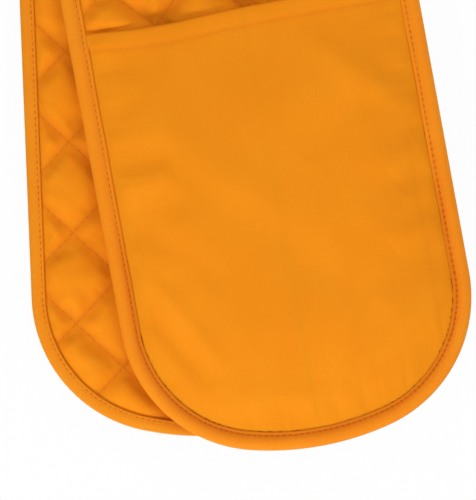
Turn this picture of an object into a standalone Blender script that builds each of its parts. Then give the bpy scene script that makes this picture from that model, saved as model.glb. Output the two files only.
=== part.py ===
"""Double oven glove: one quilted strip with a hand pocket at each end, folded in half.

Metres, +Z up. The glove lies on its rear pocket with the front half folded over the rear
half, and both rounded ends point to -Y. Every layer is cut flat, in the coordinates
across and along the strip, and is then laid on the side-view path that the folded strip
follows. Heights are measured from the middle of the strip and grow towards the side that
carries the pockets, which faces outwards all round the fold.
"""

import cmath
import math
from collections import namedtuple

import bmesh
import bpy
from mathutils import Vector

# The strip, opened flat. Lengths run from the crease at mid-length to each rounded end.
STRIP_WIDTH = 0.180
FRONT_LENGTH = 0.3925
REAR_LENGTH = 0.3820
TIP_RADIUS = 0.148
CORNER_RADIUS = 0.0715
LEG_SPREAD = math.radians(4.05)

# Cloth, wadding and the gap that touching layers keep.
FABRIC = 0.0006
GAP = 0.0003
WADDING_AT_STITCH = 0.0006
WADDING_LOFT = 0.0054

# Diamond quilting: a stitched crossing lies this far from the front end and off the middle.
DIAMOND = 0.0465
CROSSING_FROM_FRONT_END = 0.226
CROSSING_OFF_MIDDLE = 0.0022
PILLOW_RISE = 0.0080
LOFT_RISE = 0.0110
PILLOW_FULLNESS_SHARE = 0.35
WHOLE_DIAMOND_SHARE = 0.97

# Edge binding tape, folded over the raw edge with its wider side on the pockets' side.
TAPE = 0.0008
TAPE_WIDTH = 0.0095
TAPE_BACK_WIDTH = 0.0073
TAPE_ROUND = 0.0012

# Pockets. The wadding stops short of the mouth, where the hem wraps the other layers.
POCKET_DEPTH = 0.227
HAND_ROOM = 0.0056
POCKET_WADDING = 0.0018
POCKET_WADDING_AT_SEAM = 0.0004
POCKET_LOOPS = (0.008, 0.014, 0.023)
HEM = 0.0006
HEM_WIDTH = 0.0095
HEM_INSIDE_WIDTH = 0.0085
HEM_ROUND = 0.0004
HEM_SHOULDER = 0.008

# The fold, its straight tail that meets the front strap, and the two wrists.
FOLD_PIECES = 4
FOLD_STEPS = 2
FOLD_TAIL = 0.0067
HINGE_CLEARANCE = 0.0001
WRIST_SET_BACK = 0.006
WRIST_GAP = 0.0007

# How finely round shapes are drawn, and how near to each other points and planes may lie.
CORNER_STEPS = 7
TIP_STEPS = 4
SLOPE_ROUNDS = 4
WELD = 0.0008
CUT_WELD = 0.0002
ON_PLANE = 0.000001
SHARP_ANGLE = math.radians(50)

ORANGE = (0.855, 0.254, 0.010, 1.0)
DEEP_ORANGE = (0.800, 0.215, 0.008, 1.0)
CREAM = (0.80, 0.76, 0.66, 1.0)
CLOTH_ROUGHNESS = 0.9

# Sizes that follow from those above.
HALF_WIDTH = STRIP_WIDTH / 2
EDGE_HEIGHT = WADDING_AT_STITCH / 2 + GAP + FABRIC
LOFT_HEIGHT = WADDING_LOFT / 2 + GAP + FABRIC
SHEET_INSET = TAPE + GAP
PANEL_INSET = TAPE_WIDTH + GAP
PANEL_MOUTH = HEM + GAP
PANEL_BASE = EDGE_HEIGHT + GAP
PANEL_CROWN = LOFT_HEIGHT + HAND_ROOM
PANEL_LAYERS = 2 * FABRIC + 2 * GAP
PANEL_EDGE_TOP = PANEL_BASE + PANEL_LAYERS + POCKET_WADDING_AT_SEAM
PANEL_TOP = PANEL_CROWN + PANEL_LAYERS + POCKET_WADDING
POCKET_RISE = sum(POCKET_LOOPS)
HINGE_HEIGHT = LOFT_HEIGHT + HINGE_CLEARANCE

# Side view: the rear hand lies on its pocket, the front leg lies level on the rear hand.
HAND_LEVEL = PANEL_TOP
FRONT_LEVEL = HAND_LEVEL + 2 * LOFT_HEIGHT + GAP
FOLD_RADIUS = (FRONT_LEVEL - LOFT_HEIGHT) / 2
FOLD_CENTRE_Z = FOLD_RADIUS + LOFT_HEIGHT

# A rounded end is a flatter arc between two corner arcs that run into it.
CORNER_ACROSS = HALF_WIDTH - CORNER_RADIUS
CORNER_PAST_TIP_CENTRE = math.sqrt((TIP_RADIUS - CORNER_RADIUS) ** 2 - CORNER_ACROSS**2)
TIP_ANGLE = math.atan2(CORNER_ACROSS, CORNER_PAST_TIP_CENTRE)

# An empty that carries one rigid body of the glove, and where it stands in the world.
Body = namedtuple("Body", "empty origin collection")


def flat(across, along):
    """Turns strip coordinates into the flat sheet's x and its distance past the crease."""
    return (
        across * math.cos(LEG_SPREAD) + along * math.sin(LEG_SPREAD),
        along * math.cos(LEG_SPREAD) - across * math.sin(LEG_SPREAD),
    )


def strip_place(x, past):
    """Turns the flat sheet's x and distance past the crease into strip coordinates."""
    return (
        x * math.cos(LEG_SPREAD) - past * math.sin(LEG_SPREAD),
        x * math.sin(LEG_SPREAD) + past * math.cos(LEG_SPREAD),
    )


def corner_point(length, side, angle, inset):
    """A point of a rounded corner, angle measured from the strip's own direction."""
    radius = CORNER_RADIUS - inset
    along = length - TIP_RADIUS + CORNER_PAST_TIP_CENTRE + radius * math.cos(angle)
    return side * (CORNER_ACROSS + radius * math.sin(angle)), along


def tip_point(length, angle, inset):
    """A point of the flatter arc that closes a rounded end."""
    radius = TIP_RADIUS - inset
    return radius * math.sin(angle), length - TIP_RADIUS + radius * math.cos(angle)


def end_points(length, inset):
    """Outline of one rounded end in strip coordinates, from its +side to its -side."""
    quarter = math.pi / 2
    points = []
    for i in range(CORNER_STEPS + 1):
        angle = quarter + (TIP_ANGLE - quarter) * i / CORNER_STEPS
        points.append(corner_point(length, 1, angle, inset))
    for i in range(1, TIP_STEPS):
        points.append(tip_point(length, TIP_ANGLE * (1 - 2 * i / TIP_STEPS), inset))
    for i in range(CORNER_STEPS + 1):
        angle = TIP_ANGLE + (quarter - TIP_ANGLE) * i / CORNER_STEPS
        points.append(corner_point(length, -1, angle, inset))
    return points


def end_outline(direction, inset):
    """Outline of the front (1) or rear (-1) rounded end as points of the flat sheet."""
    length = FRONT_LENGTH if direction > 0 else REAR_LENGTH
    return [flat(direction * across, direction * along) for across, along in end_points(length, inset)]


def outline(inset):
    """The whole strip's outline as points of the flat sheet, drawn in by inset."""
    return end_outline(1, inset) + end_outline(-1, inset)


def edge_point(side, past, inset):
    """A point of the strip's straight side at a distance past the crease."""
    across = side * (HALF_WIDTH - inset)
    along = (past + across * math.sin(LEG_SPREAD)) / math.cos(LEG_SPREAD)
    return flat(across, along)


def edge_distance(across, along):
    """How far a point lies inside the strip's outline."""
    length = FRONT_LENGTH if along > 0 else REAR_LENGTH
    side = abs(across)
    past_tip_centre = abs(along) - (length - TIP_RADIUS)
    past_corner = past_tip_centre - CORNER_PAST_TIP_CENTRE
    if past_tip_centre > 0 and math.atan2(side, past_tip_centre) < TIP_ANGLE:
        return TIP_RADIUS - math.hypot(side, past_tip_centre)
    if past_corner > 0:
        return CORNER_RADIUS - math.hypot(side - CORNER_ACROSS, past_corner)
    return HALF_WIDTH - side


def mouth_distance(along):
    """How far a point lies inside the mouth edge of a pocket's layers."""
    length = FRONT_LENGTH if along > 0 else REAR_LENGTH
    return abs(along) - (length - POCKET_DEPTH) - PANEL_MOUTH


# Joint lines, as distances past the crease. The wrist lines clear the pocket mouths.
MOUTH_SKEW = HALF_WIDTH * math.sin(LEG_SPREAD)
WRIST_BEFORE_MOUTH = MOUTH_SKEW + WRIST_SET_BACK
FRONT_WRIST = (FRONT_LENGTH - POCKET_DEPTH) * math.cos(LEG_SPREAD) - WRIST_BEFORE_MOUTH
REAR_WRIST = (REAR_LENGTH - POCKET_DEPTH) * math.cos(LEG_SPREAD) - WRIST_BEFORE_MOUTH


def strap_slope():
    """Slope of the rear strap, which climbs from the fold to the level of the rear hand."""
    slope = 0
    for attempt in range(SLOPE_ROUNDS):
        strap = REAR_WRIST - FOLD_RADIUS * (math.pi / 2 + slope)
        rise = math.asin((HAND_LEVEL - FOLD_CENTRE_Z) / math.hypot(strap, FOLD_RADIUS))
        slope = math.atan2(FOLD_RADIUS, strap) + rise
    return slope


STRAP_SLOPE = strap_slope()
FOLD_TURN = math.pi + STRAP_SLOPE
FOLD_FRONT = FOLD_RADIUS * math.pi / 2
FOLD_REAR = FOLD_RADIUS * FOLD_TURN - FOLD_FRONT
BEND_LINES = [FOLD_RADIUS * FOLD_TURN * i / FOLD_PIECES - FOLD_REAR for i in range(FOLD_PIECES + 1)]
FOLD_LINES = [*BEND_LINES, FOLD_FRONT + FOLD_TAIL]

# The origin lies under the middle of the folded glove's box.
OUTER = outline(0)
CENTRE_X = (max(x for x, past in OUTER) + min(x for x, past in OUTER)) / 2
FRONT_REACH = max(past for x, past in OUTER) - FOLD_FRONT
FOLD_CENTRE_Y = (FRONT_REACH - FOLD_RADIUS - LOFT_HEIGHT) / 2


def place(x, past, height):
    """Lays a point of the flat sheet on the folded strip's path."""
    x -= CENTRE_X
    if past >= FOLD_FRONT:
        return Vector((x, FOLD_CENTRE_Y - (past - FOLD_FRONT), FRONT_LEVEL + height))
    if past >= -FOLD_REAR:
        turn = past / FOLD_RADIUS
        radius = FOLD_RADIUS + height
        y = FOLD_CENTRE_Y + radius * math.cos(turn)
        return Vector((x, y, FOLD_CENTRE_Z + radius * math.sin(turn)))
    run = min(-past, REAR_WRIST) - FOLD_REAR
    level_run = -past - REAR_WRIST
    sine = math.sin(STRAP_SLOPE)
    cosine = math.cos(STRAP_SLOPE)
    y = FOLD_CENTRE_Y - FOLD_RADIUS * sine - run * cosine
    z = FOLD_CENTRE_Z - FOLD_RADIUS * cosine + run * sine
    if level_run > 0:
        return Vector((x, y - level_run, z - height))
    return Vector((x, y - height * sine, z - height * cosine))


def smooth_step(share):
    share = min(max(share, 0), 1)
    return share * share * (3 - 2 * share)


def quilt_puff(across, along):
    """0 on the stitch lines and 1 in the middle of each diamond, fading at the binding."""
    side = across - CROSSING_OFF_MIDDLE
    run = along - (FRONT_LENGTH - CROSSING_FROM_FRONT_END)
    first = abs(math.sin(math.pi * (side + run) / DIAMOND))
    second = abs(math.sin(math.pi * (side - run) / DIAMOND))
    fade = smooth_step((edge_distance(across, along) - PANEL_INSET) / LOFT_RISE)
    return (first * second) ** PILLOW_FULLNESS_SHARE * fade


def wadding_top(across, along):
    """Half the thickness of the strip's wadding."""
    rise = (WADDING_LOFT - WADDING_AT_STITCH) / 2
    return WADDING_AT_STITCH / 2 + rise * quilt_puff(across, along)


def crown(inside):
    """0 at the pocket's sewn edge and 1 on its level middle."""
    return math.sin(math.pi / 2 * min(max(inside / POCKET_RISE, 0), 1))


def behind_hem(along):
    """0 under the pocket's hem and 1 past the shoulder where the wadding starts."""
    return min(max((mouth_distance(along) - HEM_WIDTH) / HEM_SHOULDER, 0), 1)


def lining_bottom(across, along):
    """The pocket's inner face, lifted at the mouth to leave room for the hem."""
    open_room = (PANEL_CROWN - PANEL_BASE) * crown(edge_distance(across, along) - PANEL_INSET)
    return PANEL_BASE + open_room + (HEM + GAP) * (1 - behind_hem(along))


def lining_top(across, along):
    return lining_bottom(across, along) + FABRIC


def pocket_wadding(across, along):
    """Thickness of the wadding in a pocket."""
    rise = POCKET_WADDING - POCKET_WADDING_AT_SEAM
    return POCKET_WADDING_AT_SEAM + rise * crown(edge_distance(across, along) - PANEL_INSET)


def wadding_bottom(across, along):
    return lining_top(across, along) + GAP


def wadding_upper(across, along):
    return wadding_bottom(across, along) + pocket_wadding(across, along)


def cover_bottom(across, along):
    """The inner face of the pocket's outer fabric, close on the lining under the hem."""
    filling = (GAP + pocket_wadding(across, along)) * behind_hem(along)
    return lining_top(across, along) + GAP + filling


def cover_top(across, along):
    return cover_bottom(across, along) + FABRIC


def bisect(bm, point, normal, clear=False, faces=None):
    """Cuts a flat sheet or some of its faces along a line, and clears the far side if asked."""
    faces = bm.faces[:] if faces is None else faces
    edges = {edge for face in faces for edge in face.edges}
    corners = {vertex for face in faces for vertex in face.verts}
    geometry = [*corners, *edges, *faces]
    bmesh.ops.bisect_plane(
        bm, geom=geometry, dist=ON_PLANE, plane_co=point, plane_no=normal, clear_outer=clear
    )


def triangulate(bm):
    bm.normal_update()
    bmesh.ops.triangulate(bm, faces=bm.faces[:], ngon_method="EAR_CLIP")


def inset(bm, faces, width):
    """Draws a ring of faces along the outline of a flat sheet."""
    bmesh.ops.inset_region(bm, faces=faces, thickness=width, use_even_offset=True, use_boundary=True)


def flat_face(points):
    """A flat sheet with one many-sided face."""
    bm = bmesh.new()
    bm.faces.new([bm.verts.new((x, past, 0)) for x, past in points])
    bm.normal_update()
    return bm


def quilted_faces(bm):
    """The faces of the strip's sheet that lie inside its binding."""
    centres = {face: strip_place(*face.calc_center_median().xy) for face in bm.faces}
    return [face for face, centre in centres.items() if edge_distance(*centre) > PANEL_INSET]


def ruled_pattern(directions, spacing):
    """The strip's flat sheet with its bound edge, cut along lines square to each direction."""
    bm = flat_face(outline(SHEET_INSET))
    inset(bm, bm.faces[:], PANEL_INSET - SHEET_INSET)
    start = Vector((*flat(CROSSING_OFF_MIDDLE, FRONT_LENGTH - CROSSING_FROM_FRONT_END), 0))
    lines = math.ceil((FRONT_LENGTH + REAR_LENGTH) / spacing)
    for direction in directions:
        normal = Vector((*flat(*direction), 0)).normalized()
        for line in range(-lines, lines + 1):
            bisect(bm, start + normal * spacing * line, normal, faces=quilted_faces(bm))
    bmesh.ops.remove_doubles(bm, verts=bm.verts[:], dist=WELD)
    return bm


def raise_to_wadding(bm):
    """Gives a flat sheet the height of the top of the wadding."""
    triangulate(bm)
    for vertex in bm.verts:
        vertex.co.z = wadding_top(*strip_place(vertex.co.x, vertex.co.y))


def quilted_pattern(pillows):
    """The strip's sheet, raised to a peak in each stitched diamond or to a fuller pillow."""
    spacing = DIAMOND / math.sqrt(2)
    bm = ruled_pattern(((1, -1), (1, 1)), spacing)
    diamonds = quilted_faces(bm)
    if pillows:
        whole = [face for face in diamonds if face.calc_area() > WHOLE_DIAMOND_SHARE * spacing**2]
        bmesh.ops.inset_individual(bm, faces=whole, thickness=PILLOW_RISE, use_even_offset=True)
    bmesh.ops.poke(bm, faces=diamonds)
    raise_to_wadding(bm)
    return bm


def panel_pattern(direction):
    """A pocket panel's flat sheet, with loops along its sewn edge and rows across it."""
    bm = flat_face(outline(PANEL_INSET))
    middle = bm.faces[:]
    for step in POCKET_LOOPS:
        inset(bm, middle, step)
    length = FRONT_LENGTH if direction > 0 else REAR_LENGTH
    outward = Vector((*flat(0, direction), 0))
    mouth = length - POCKET_DEPTH + PANEL_MOUTH
    bisect(bm, outward * mouth, -outward, clear=True)
    bisect(bm, outward * (mouth + HEM_WIDTH), outward)
    bisect(bm, outward * (mouth + HEM_WIDTH + HEM_SHOULDER), outward)
    triangulate(bm)
    return bm


def cut_between(pattern, low, high):
    """The part of a flat sheet between two distances past the crease."""
    bm = pattern.copy()
    if high is not None:
        bisect(bm, Vector((0, high, 0)), Vector((0, 1, 0)), clear=True)
    if low is not None:
        bisect(bm, Vector((0, low, 0)), Vector((0, -1, 0)), clear=True)
    bmesh.ops.dissolve_degenerate(bm, edges=bm.edges[:], dist=CUT_WELD)
    triangulate(bm)
    return bm


def cloth_material(name, colour):
    """A material for one piece of cloth or wadding."""
    material = bpy.data.materials.new(name)
    material.use_nodes = True
    shader = material.node_tree.nodes["Principled BSDF"]
    shader.inputs["Base Color"].default_value = colour
    shader.inputs["Roughness"].default_value = CLOTH_ROUGHNESS
    shader.inputs["Metallic"].default_value = 0
    return material


def finish_piece(bm, name, body, colour):
    """Turns a closed mesh into an object that hangs on its body's empty."""
    bmesh.ops.recalc_face_normals(bm, faces=bm.faces[:])
    if bm.calc_volume(signed=True) < 0:
        bmesh.ops.reverse_faces(bm, faces=bm.faces[:])
    bmesh.ops.translate(bm, verts=bm.verts[:], vec=-body.origin)
    mesh = bpy.data.meshes.new(name)
    bm.to_mesh(mesh)
    bm.free()
    mesh.shade_smooth()
    mesh.set_sharp_from_angle(angle=SHARP_ANGLE)
    mesh.materials.append(cloth_material(name, colour))
    piece = bpy.data.objects.new(name, mesh)
    piece.parent = body.empty
    body.collection.objects.link(piece)


def sheet_solid(name, pattern, lower, upper, body, colour):
    """A sheet given thickness between two heights, then laid on the folded path.

    The heights are functions of the point of the sheet that they stand on.
    """
    bm = pattern.copy()
    made = bmesh.ops.extrude_face_region(bm, geom=bm.faces[:])
    raised = {item for item in made["geom"] if isinstance(item, bmesh.types.BMVert)}
    for vertex in bm.verts:
        height = upper(vertex.co) if vertex in raised else lower(vertex.co)
        vertex.co = place(vertex.co.x, vertex.co.y, height)
    triangulate(bm)
    finish_piece(bm, name, body, colour)


def loft_solid(name, sections, body, colour):
    """A closed body lofted through a run of closed sections."""
    bm = bmesh.new()
    loops = [[bm.verts.new(place(*point)) for point in section] for section in sections]
    for near, far in zip(loops, loops[1:]):
        for i, vertex in enumerate(near):
            bm.faces.new((near[i - 1], vertex, far[i], far[i - 1]))
    bm.faces.new(loops[0])
    bm.faces.new(loops[-1])
    triangulate(bm)
    finish_piece(bm, name, body, colour)


def strip_layers(section, peaks, pillows, in_pocket, body):
    """The three quilted layers of one length of the strip, plain where a pocket hides them."""
    inner = GAP
    outer = GAP + FABRIC
    pocket_side = peaks if in_pocket else pillows
    sheet_solid(f"{section}_wadding", peaks, lambda co: -co.z, lambda co: co.z, body, CREAM)
    sheet_solid(
        f"{section}_pocket_side_fabric",
        pocket_side,
        lambda co: co.z + inner,
        lambda co: co.z + outer,
        body,
        ORANGE,
    )
    sheet_solid(
        f"{section}_back_fabric", pillows, lambda co: -co.z - outer, lambda co: -co.z - inner, body, ORANGE
    )


def tape_section(edge):
    """A closed section of the binding; edge gives a point of the flat sheet at an inset."""
    inner = EDGE_HEIGHT + GAP
    outer = inner + TAPE
    profile = (
        (TAPE_WIDTH, outer),
        (TAPE_ROUND, outer),
        (0, outer - TAPE_ROUND),
        (0, TAPE_ROUND - outer),
        (TAPE_ROUND, -outer),
        (TAPE_BACK_WIDTH, -outer),
        (TAPE_BACK_WIDTH, -inner),
        (TAPE, -inner),
        (TAPE, inner),
        (TAPE_WIDTH, inner),
    )
    return [(*edge(inset), height) for inset, height in profile]


def side_tape(side, start, end, steps):
    """Sections of the binding along one straight side, from one joint line to the next."""
    sections = []
    for i in range(steps + 1):
        past = start + (end - start) * i / steps
        sections.append(tape_section(lambda inset: edge_point(side, past, inset)))
    return sections


def end_tape(direction, past):
    """Sections of the binding round one rounded end, from a wrist line and back to it."""
    sections = [tape_section(lambda inset: edge_point(direction, past, inset))]
    for i in range(len(end_outline(direction, 0))):
        sections.append(tape_section(lambda inset: end_outline(direction, inset)[i]))
    sections.append(tape_section(lambda inset: edge_point(-direction, past, inset)))
    return sections


def hem_section(direction, across):
    """A closed section of the hem that wraps a pocket's mouth."""
    length = FRONT_LENGTH if direction > 0 else REAR_LENGTH
    edge = length - POCKET_DEPTH
    layers = direction * (edge + PANEL_MOUTH)
    bottom = lining_bottom(across, layers) - GAP
    top = cover_top(across, layers) + GAP
    profile = (
        (edge + HEM_WIDTH, top + HEM),
        (edge + HEM_ROUND, top + HEM),
        (edge, top + HEM - HEM_ROUND),
        (edge, bottom - HEM + HEM_ROUND),
        (edge + HEM_ROUND, bottom - HEM),
        (edge + HEM_INSIDE_WIDTH, bottom - HEM),
        (edge + HEM_INSIDE_WIDTH, bottom),
        (edge + HEM, bottom),
        (edge + HEM, top),
        (edge + HEM_WIDTH, top),
    )
    return [(*flat(across, direction * along), height) for along, height in profile]


def hem_sections(direction):
    """Sections of a pocket's hem from seam to seam, one at each of the panel's loops."""
    half = HALF_WIDTH - PANEL_INSET
    reaches = [half - sum(POCKET_LOOPS[:i]) for i in range(len(POCKET_LOOPS) + 1)]
    places = [-reach for reach in reaches] + reaches[::-1]
    return [hem_section(direction, across) for across in places]


def pocket(name, direction, body):
    """Lining, wadding, outer fabric and hem of one pocket."""

    def over_strip(height):
        return lambda co: height(*strip_place(co.x, co.y))

    pattern = panel_pattern(direction)
    sheet_solid(f"{name}_lining", pattern, over_strip(lining_bottom), over_strip(lining_top), body, CREAM)
    sheet_solid(
        f"{name}_outer_fabric", pattern, over_strip(cover_bottom), over_strip(cover_top), body, ORANGE
    )
    length = FRONT_LENGTH if direction > 0 else REAR_LENGTH
    start = length - POCKET_DEPTH + PANEL_MOUTH + HEM_WIDTH + HEM_SHOULDER
    outward = Vector((*flat(0, direction), 0))
    bisect(pattern, outward * start, -outward, clear=True)
    sheet_solid(
        f"{name}_wadding", pattern, over_strip(wadding_bottom), over_strip(wadding_upper), body, CREAM
    )
    loft_solid(f"{name}_hem", hem_sections(direction), body, DEEP_ORANGE)


def add_body(name, parent, origin, collection):
    """An empty on the joint that carries a body, hung on the body before it."""
    empty = bpy.data.objects.new(name, None)
    empty.empty_display_size = TAPE_WIDTH
    if parent is not None:
        empty.parent = parent.empty
        empty.location = origin - parent.origin
    else:
        empty.location = origin
    collection.objects.link(empty)
    return Body(empty, origin, collection)


def hinge_on_line(past):
    """Where a joint line's hinge stands, just outside the strip's pocket side."""
    return place(CENTRE_X, past, HINGE_HEIGHT)


def unfolding_axis():
    """Where one turn of the front strap does what the bend lines do one after another.

    Each bend line opens by the turn of the cloth around it. In the side view, with points
    as complex numbers, the axis is the one point that all those turns leave in place.
    """
    turned = 1
    moved = 0
    for line in BEND_LINES:
        at_an_end = line in (BEND_LINES[0], BEND_LINES[-1])
        opening = FOLD_TURN / FOLD_PIECES / (2 if at_an_end else 1)
        hinge = hinge_on_line(line)
        step = cmath.exp(-1j * opening)
        moved += turned * complex(hinge.y, hinge.z) * (1 - step)
        turned *= step
    axis = moved / (1 - turned)
    return Vector((0, axis.real, axis.imag))


def pocket_hinge(direction):
    """Where a pocket hinges open: its sewn edge at the very end of the strip."""
    length = FRONT_LENGTH if direction > 0 else REAR_LENGTH
    return place(*flat(0, direction * (length - PANEL_INSET)), PANEL_EDGE_TOP)


def make_bodies(collection):
    """Every rigid body of the glove, from the rear strap outwards."""
    rear_strap = add_body("rear_strap_body", None, hinge_on_line(-FOLD_REAR), collection)
    front_strap = add_body("front_strap_body", rear_strap, unfolding_axis(), collection)
    bodies = {"rear_strap": rear_strap, "front_strap": front_strap}
    parent = rear_strap
    for i, line in enumerate(BEND_LINES):
        parent = add_body(f"fold_{i + 1}_body", parent, hinge_on_line(line), collection)
        bodies[f"fold_{i + 1}"] = parent
    wrists = (("rear", -1, -REAR_WRIST), ("front", 1, FRONT_WRIST))
    for end, direction, line in wrists:
        strap = bodies[f"{end}_strap"]
        hand = add_body(f"{end}_hand_body", strap, hinge_on_line(line), collection)
        bodies[f"{end}_hand"] = hand
        bodies[f"{end}_pocket"] = add_body(f"{end}_pocket_body", hand, pocket_hinge(direction), collection)
    return bodies


def make_hand(end, direction, patterns, line, body):
    """A strip end between its wrist line and its rounded end."""
    past = line + direction * WRIST_GAP / 2
    limits = (past, None) if direction > 0 else (None, past)
    peaks, pillows = [cut_between(pattern, *limits) for pattern in patterns]
    strip_layers(f"{end}_hand", peaks, pillows, True, body)
    loft_solid(f"{end}_hand_binding", end_tape(direction, past), body, DEEP_ORANGE)


def side_bindings(name, low, high, steps, body):
    """The binding tape along both sides of a length of the strip."""
    loft_solid(f"{name}_left_binding", side_tape(-1, high, low, steps), body, DEEP_ORANGE)
    loft_solid(f"{name}_right_binding", side_tape(1, low, high, steps), body, DEEP_ORANGE)


def make_strap(end, patterns, low, high, body):
    """The flat length of the strip between the fold and a hand."""
    peaks, pillows = [cut_between(pattern, low, high) for pattern in patterns]
    strip_layers(f"{end}_strap", peaks, pillows, False, body)
    side_bindings(f"{end}_strap", low, high, 1, body)


def make_fold(name, pattern, low, high, body):
    """One length of the fold, bent in steps."""
    piece = cut_between(pattern, low, high)
    for i in range(1, FOLD_STEPS):
        bisect(piece, Vector((0, low + (high - low) * i / FOLD_STEPS, 0)), Vector((0, 1, 0)))
    raise_to_wadding(piece)
    strip_layers(name, piece, piece, False, body)
    side_bindings(name, low, high, FOLD_STEPS, body)


def clear_scene():
    for thing in list(bpy.data.objects):
        bpy.data.objects.remove(thing, do_unlink=True)


def main():
    clear_scene()
    collection = bpy.data.collections.new("double_oven_glove")
    bpy.context.scene.collection.children.link(collection)
    bodies = make_bodies(collection)
    patterns = (quilted_pattern(False), quilted_pattern(True))
    columns = ruled_pattern(((1, 0),), DIAMOND / 2)
    rear_limits = (WRIST_GAP / 2 - REAR_WRIST, -FOLD_REAR - GAP / 2)
    front_limits = (FOLD_LINES[-1] + GAP / 2, FRONT_WRIST - WRIST_GAP / 2)
    make_hand("rear", -1, patterns, -REAR_WRIST, bodies["rear_hand"])
    make_strap("rear", patterns, *rear_limits, bodies["rear_strap"])
    for i, (low, high) in enumerate(zip(FOLD_LINES, FOLD_LINES[1:])):
        name = f"fold_{i + 1}"
        make_fold(name, columns, low + GAP / 2, high - GAP / 2, bodies[name])
    make_strap("front", patterns, *front_limits, bodies["front_strap"])
    make_hand("front", 1, patterns, FRONT_WRIST, bodies["front_hand"])
    pocket("rear_pocket", -1, bodies["rear_pocket"])
    pocket("front_pocket", 1, bodies["front_pocket"])


main()
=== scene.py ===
"""Looks of the double oven glove: quilted strip, crowned pockets, binding tape and stitches.

Metres, +Z up, in the frame of the solids. The soft pieces are made flat, in the coordinates
across and along the strip, and are then laid on the path that the folded strip follows.
"""

import math
from functools import partial

import bpy
import numpy as np
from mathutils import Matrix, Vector


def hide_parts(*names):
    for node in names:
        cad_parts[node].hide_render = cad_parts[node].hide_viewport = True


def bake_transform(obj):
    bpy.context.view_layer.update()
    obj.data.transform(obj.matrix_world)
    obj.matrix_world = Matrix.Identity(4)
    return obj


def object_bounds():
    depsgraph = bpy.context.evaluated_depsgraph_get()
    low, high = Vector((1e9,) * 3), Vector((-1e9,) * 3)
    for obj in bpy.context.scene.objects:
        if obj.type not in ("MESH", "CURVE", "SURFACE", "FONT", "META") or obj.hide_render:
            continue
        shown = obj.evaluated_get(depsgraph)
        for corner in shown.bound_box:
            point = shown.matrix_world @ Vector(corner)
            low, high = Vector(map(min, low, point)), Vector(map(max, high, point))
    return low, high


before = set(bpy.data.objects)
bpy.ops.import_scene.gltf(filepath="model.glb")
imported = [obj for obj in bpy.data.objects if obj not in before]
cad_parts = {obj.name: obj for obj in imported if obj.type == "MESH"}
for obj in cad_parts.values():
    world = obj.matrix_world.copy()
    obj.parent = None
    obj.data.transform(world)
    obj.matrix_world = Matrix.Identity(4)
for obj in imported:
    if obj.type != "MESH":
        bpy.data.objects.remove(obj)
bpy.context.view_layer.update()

# The strip. Lengths run from the crease to each rounded end.
STRIP_WIDTH = 0.180
HALF_WIDTH = STRIP_WIDTH / 2
FRONT_LENGTH = 0.3925
REAR_LENGTH = 0.3820
TIP_RADIUS = 0.148
CORNER_RADIUS = 0.0715
LEG_SPREAD = math.radians(4.05)
POCKET_DEPTH = 0.227

# Heights from the middle of the strip, which grow towards its pocket side.
EDGE_HEIGHT = 0.0012
LOFT_HEIGHT = 0.0036
FREE_LOFT = 0.0029
PANEL_TOP = 0.0128
GAP = 0.0003

# Diamond quilting.
DIAMOND = 0.0465
CELLS_PER_DIAMOND = 36
CELL = DIAMOND / CELLS_PER_DIAMOND
LINE_SPACING = DIAMOND / math.sqrt(2)
CROSSING_FROM_FRONT_END = 0.226
CROSSING_ALONG = FRONT_LENGTH - CROSSING_FROM_FRONT_END
CROSSING_OFF_MIDDLE = 0.0022
PILLOW_POWER_SHARE = 0.5
LEAST_FULLNESS_SHARE = 0.62
FULLNESS_SPREAD_SHARE = 0.38
CELLS_APART = 57
PILLOW_CLOUDS = ((0.011, 0.22), (0.019, 0.12))
FULLNESS_POWER_SHARE = 0.65
LEAST_FILL_SHARE = 0.03
MOST_FILL_SHARE = 1.35
FILL_LEVELLING_SHARE = 0.25
VALLEY = 0.0065
PUCKER_LENGTH = 0.0145
PUCKER_REACH = 0.0045
PUCKER_SHARE = 0.25
PUCKER_SEEDS = (5, 14)
QUILT_SEED = 3
QUILT_START = 0.0013
QUILT_FADE = 0.010
QUILT_EDGE_RISE = 0.004
MOUTH_FADE = 0.02
FOLD_FADE = 0.03
LEG_FADE = 0.022
# Painted shade along the stitch lines: share and reach of each of its two fades.
PAINTED_SEAM_SHADES = ((0.55, 0.0012), (0.45, 0.0045))

# The simulated sheets, as heights above the stitch lines and numbers of steps.
SHEET_CELL = 2 * CELL
SHEET_START_HEIGHT = 0.0021
SHEET_FULL_HEIGHT = 0.0042
SHEET_GROWTH_SHARE = 0.03
SHEET_PRESSURE = 20
SHEET_STEPS = 14
WRINKLE_GAIN_SHARE = 1.3
WRINKLE_SOFTENINGS = 4
PANEL_SHEET_CELL = 0.0028
PANEL_GROWTH_SHARE = 0.02
PANEL_PRESSURE = 4
PANEL_SWELL_CAP = 0.003
PANEL_SOFTENINGS = 9
CLOTH_SETTINGS = {
    "quality": 6,
    "mass": 0.1,
    "tension_stiffness": 15,
    "compression_stiffness": 15,
    "shear_stiffness": 7.5,
    "bending_stiffness": 150,
    "use_pressure": True,
}

# Binding tape.
TAPE = 0.0008
TAPE_WIDTH = 0.0095
TAPE_BACK_WIDTH = 0.0073
TAPE_STITCH_INSET = 0.0076
TAPE_BACK_STITCH_INSET = 0.0058
TAPE_STITCH_DEPTH = 0.0003
TAPE_STITCH_PITCH = 0.0032
TAPE_STEPS_PER_STITCH = 3
TAPE_STEP = TAPE_STITCH_PITCH / TAPE_STEPS_PER_STITCH
TAPE_PUCKER = 0.00030
TAPE_PUCKER_LENGTH = 0.031
TAPE_WANDER = 0.0002
TAPE_WANDER_LENGTH = 0.06
TAPE_DROP_AT_TIP = 0.0004
# Painted shade along the tape's stitch furrow and, round the front end, inside its pocket-side edge.
TAPE_FURROW_WIDTH = 0.0009
TAPE_VALLEY_WIDTH = 0.0035
TAPE_FURROW_PAINTED_SHADE_SHARE = 0.5
TAPE_LIFT = 0.0007
LIFT_RUN = 0.012
ROUND_RUN = 0.05

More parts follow.
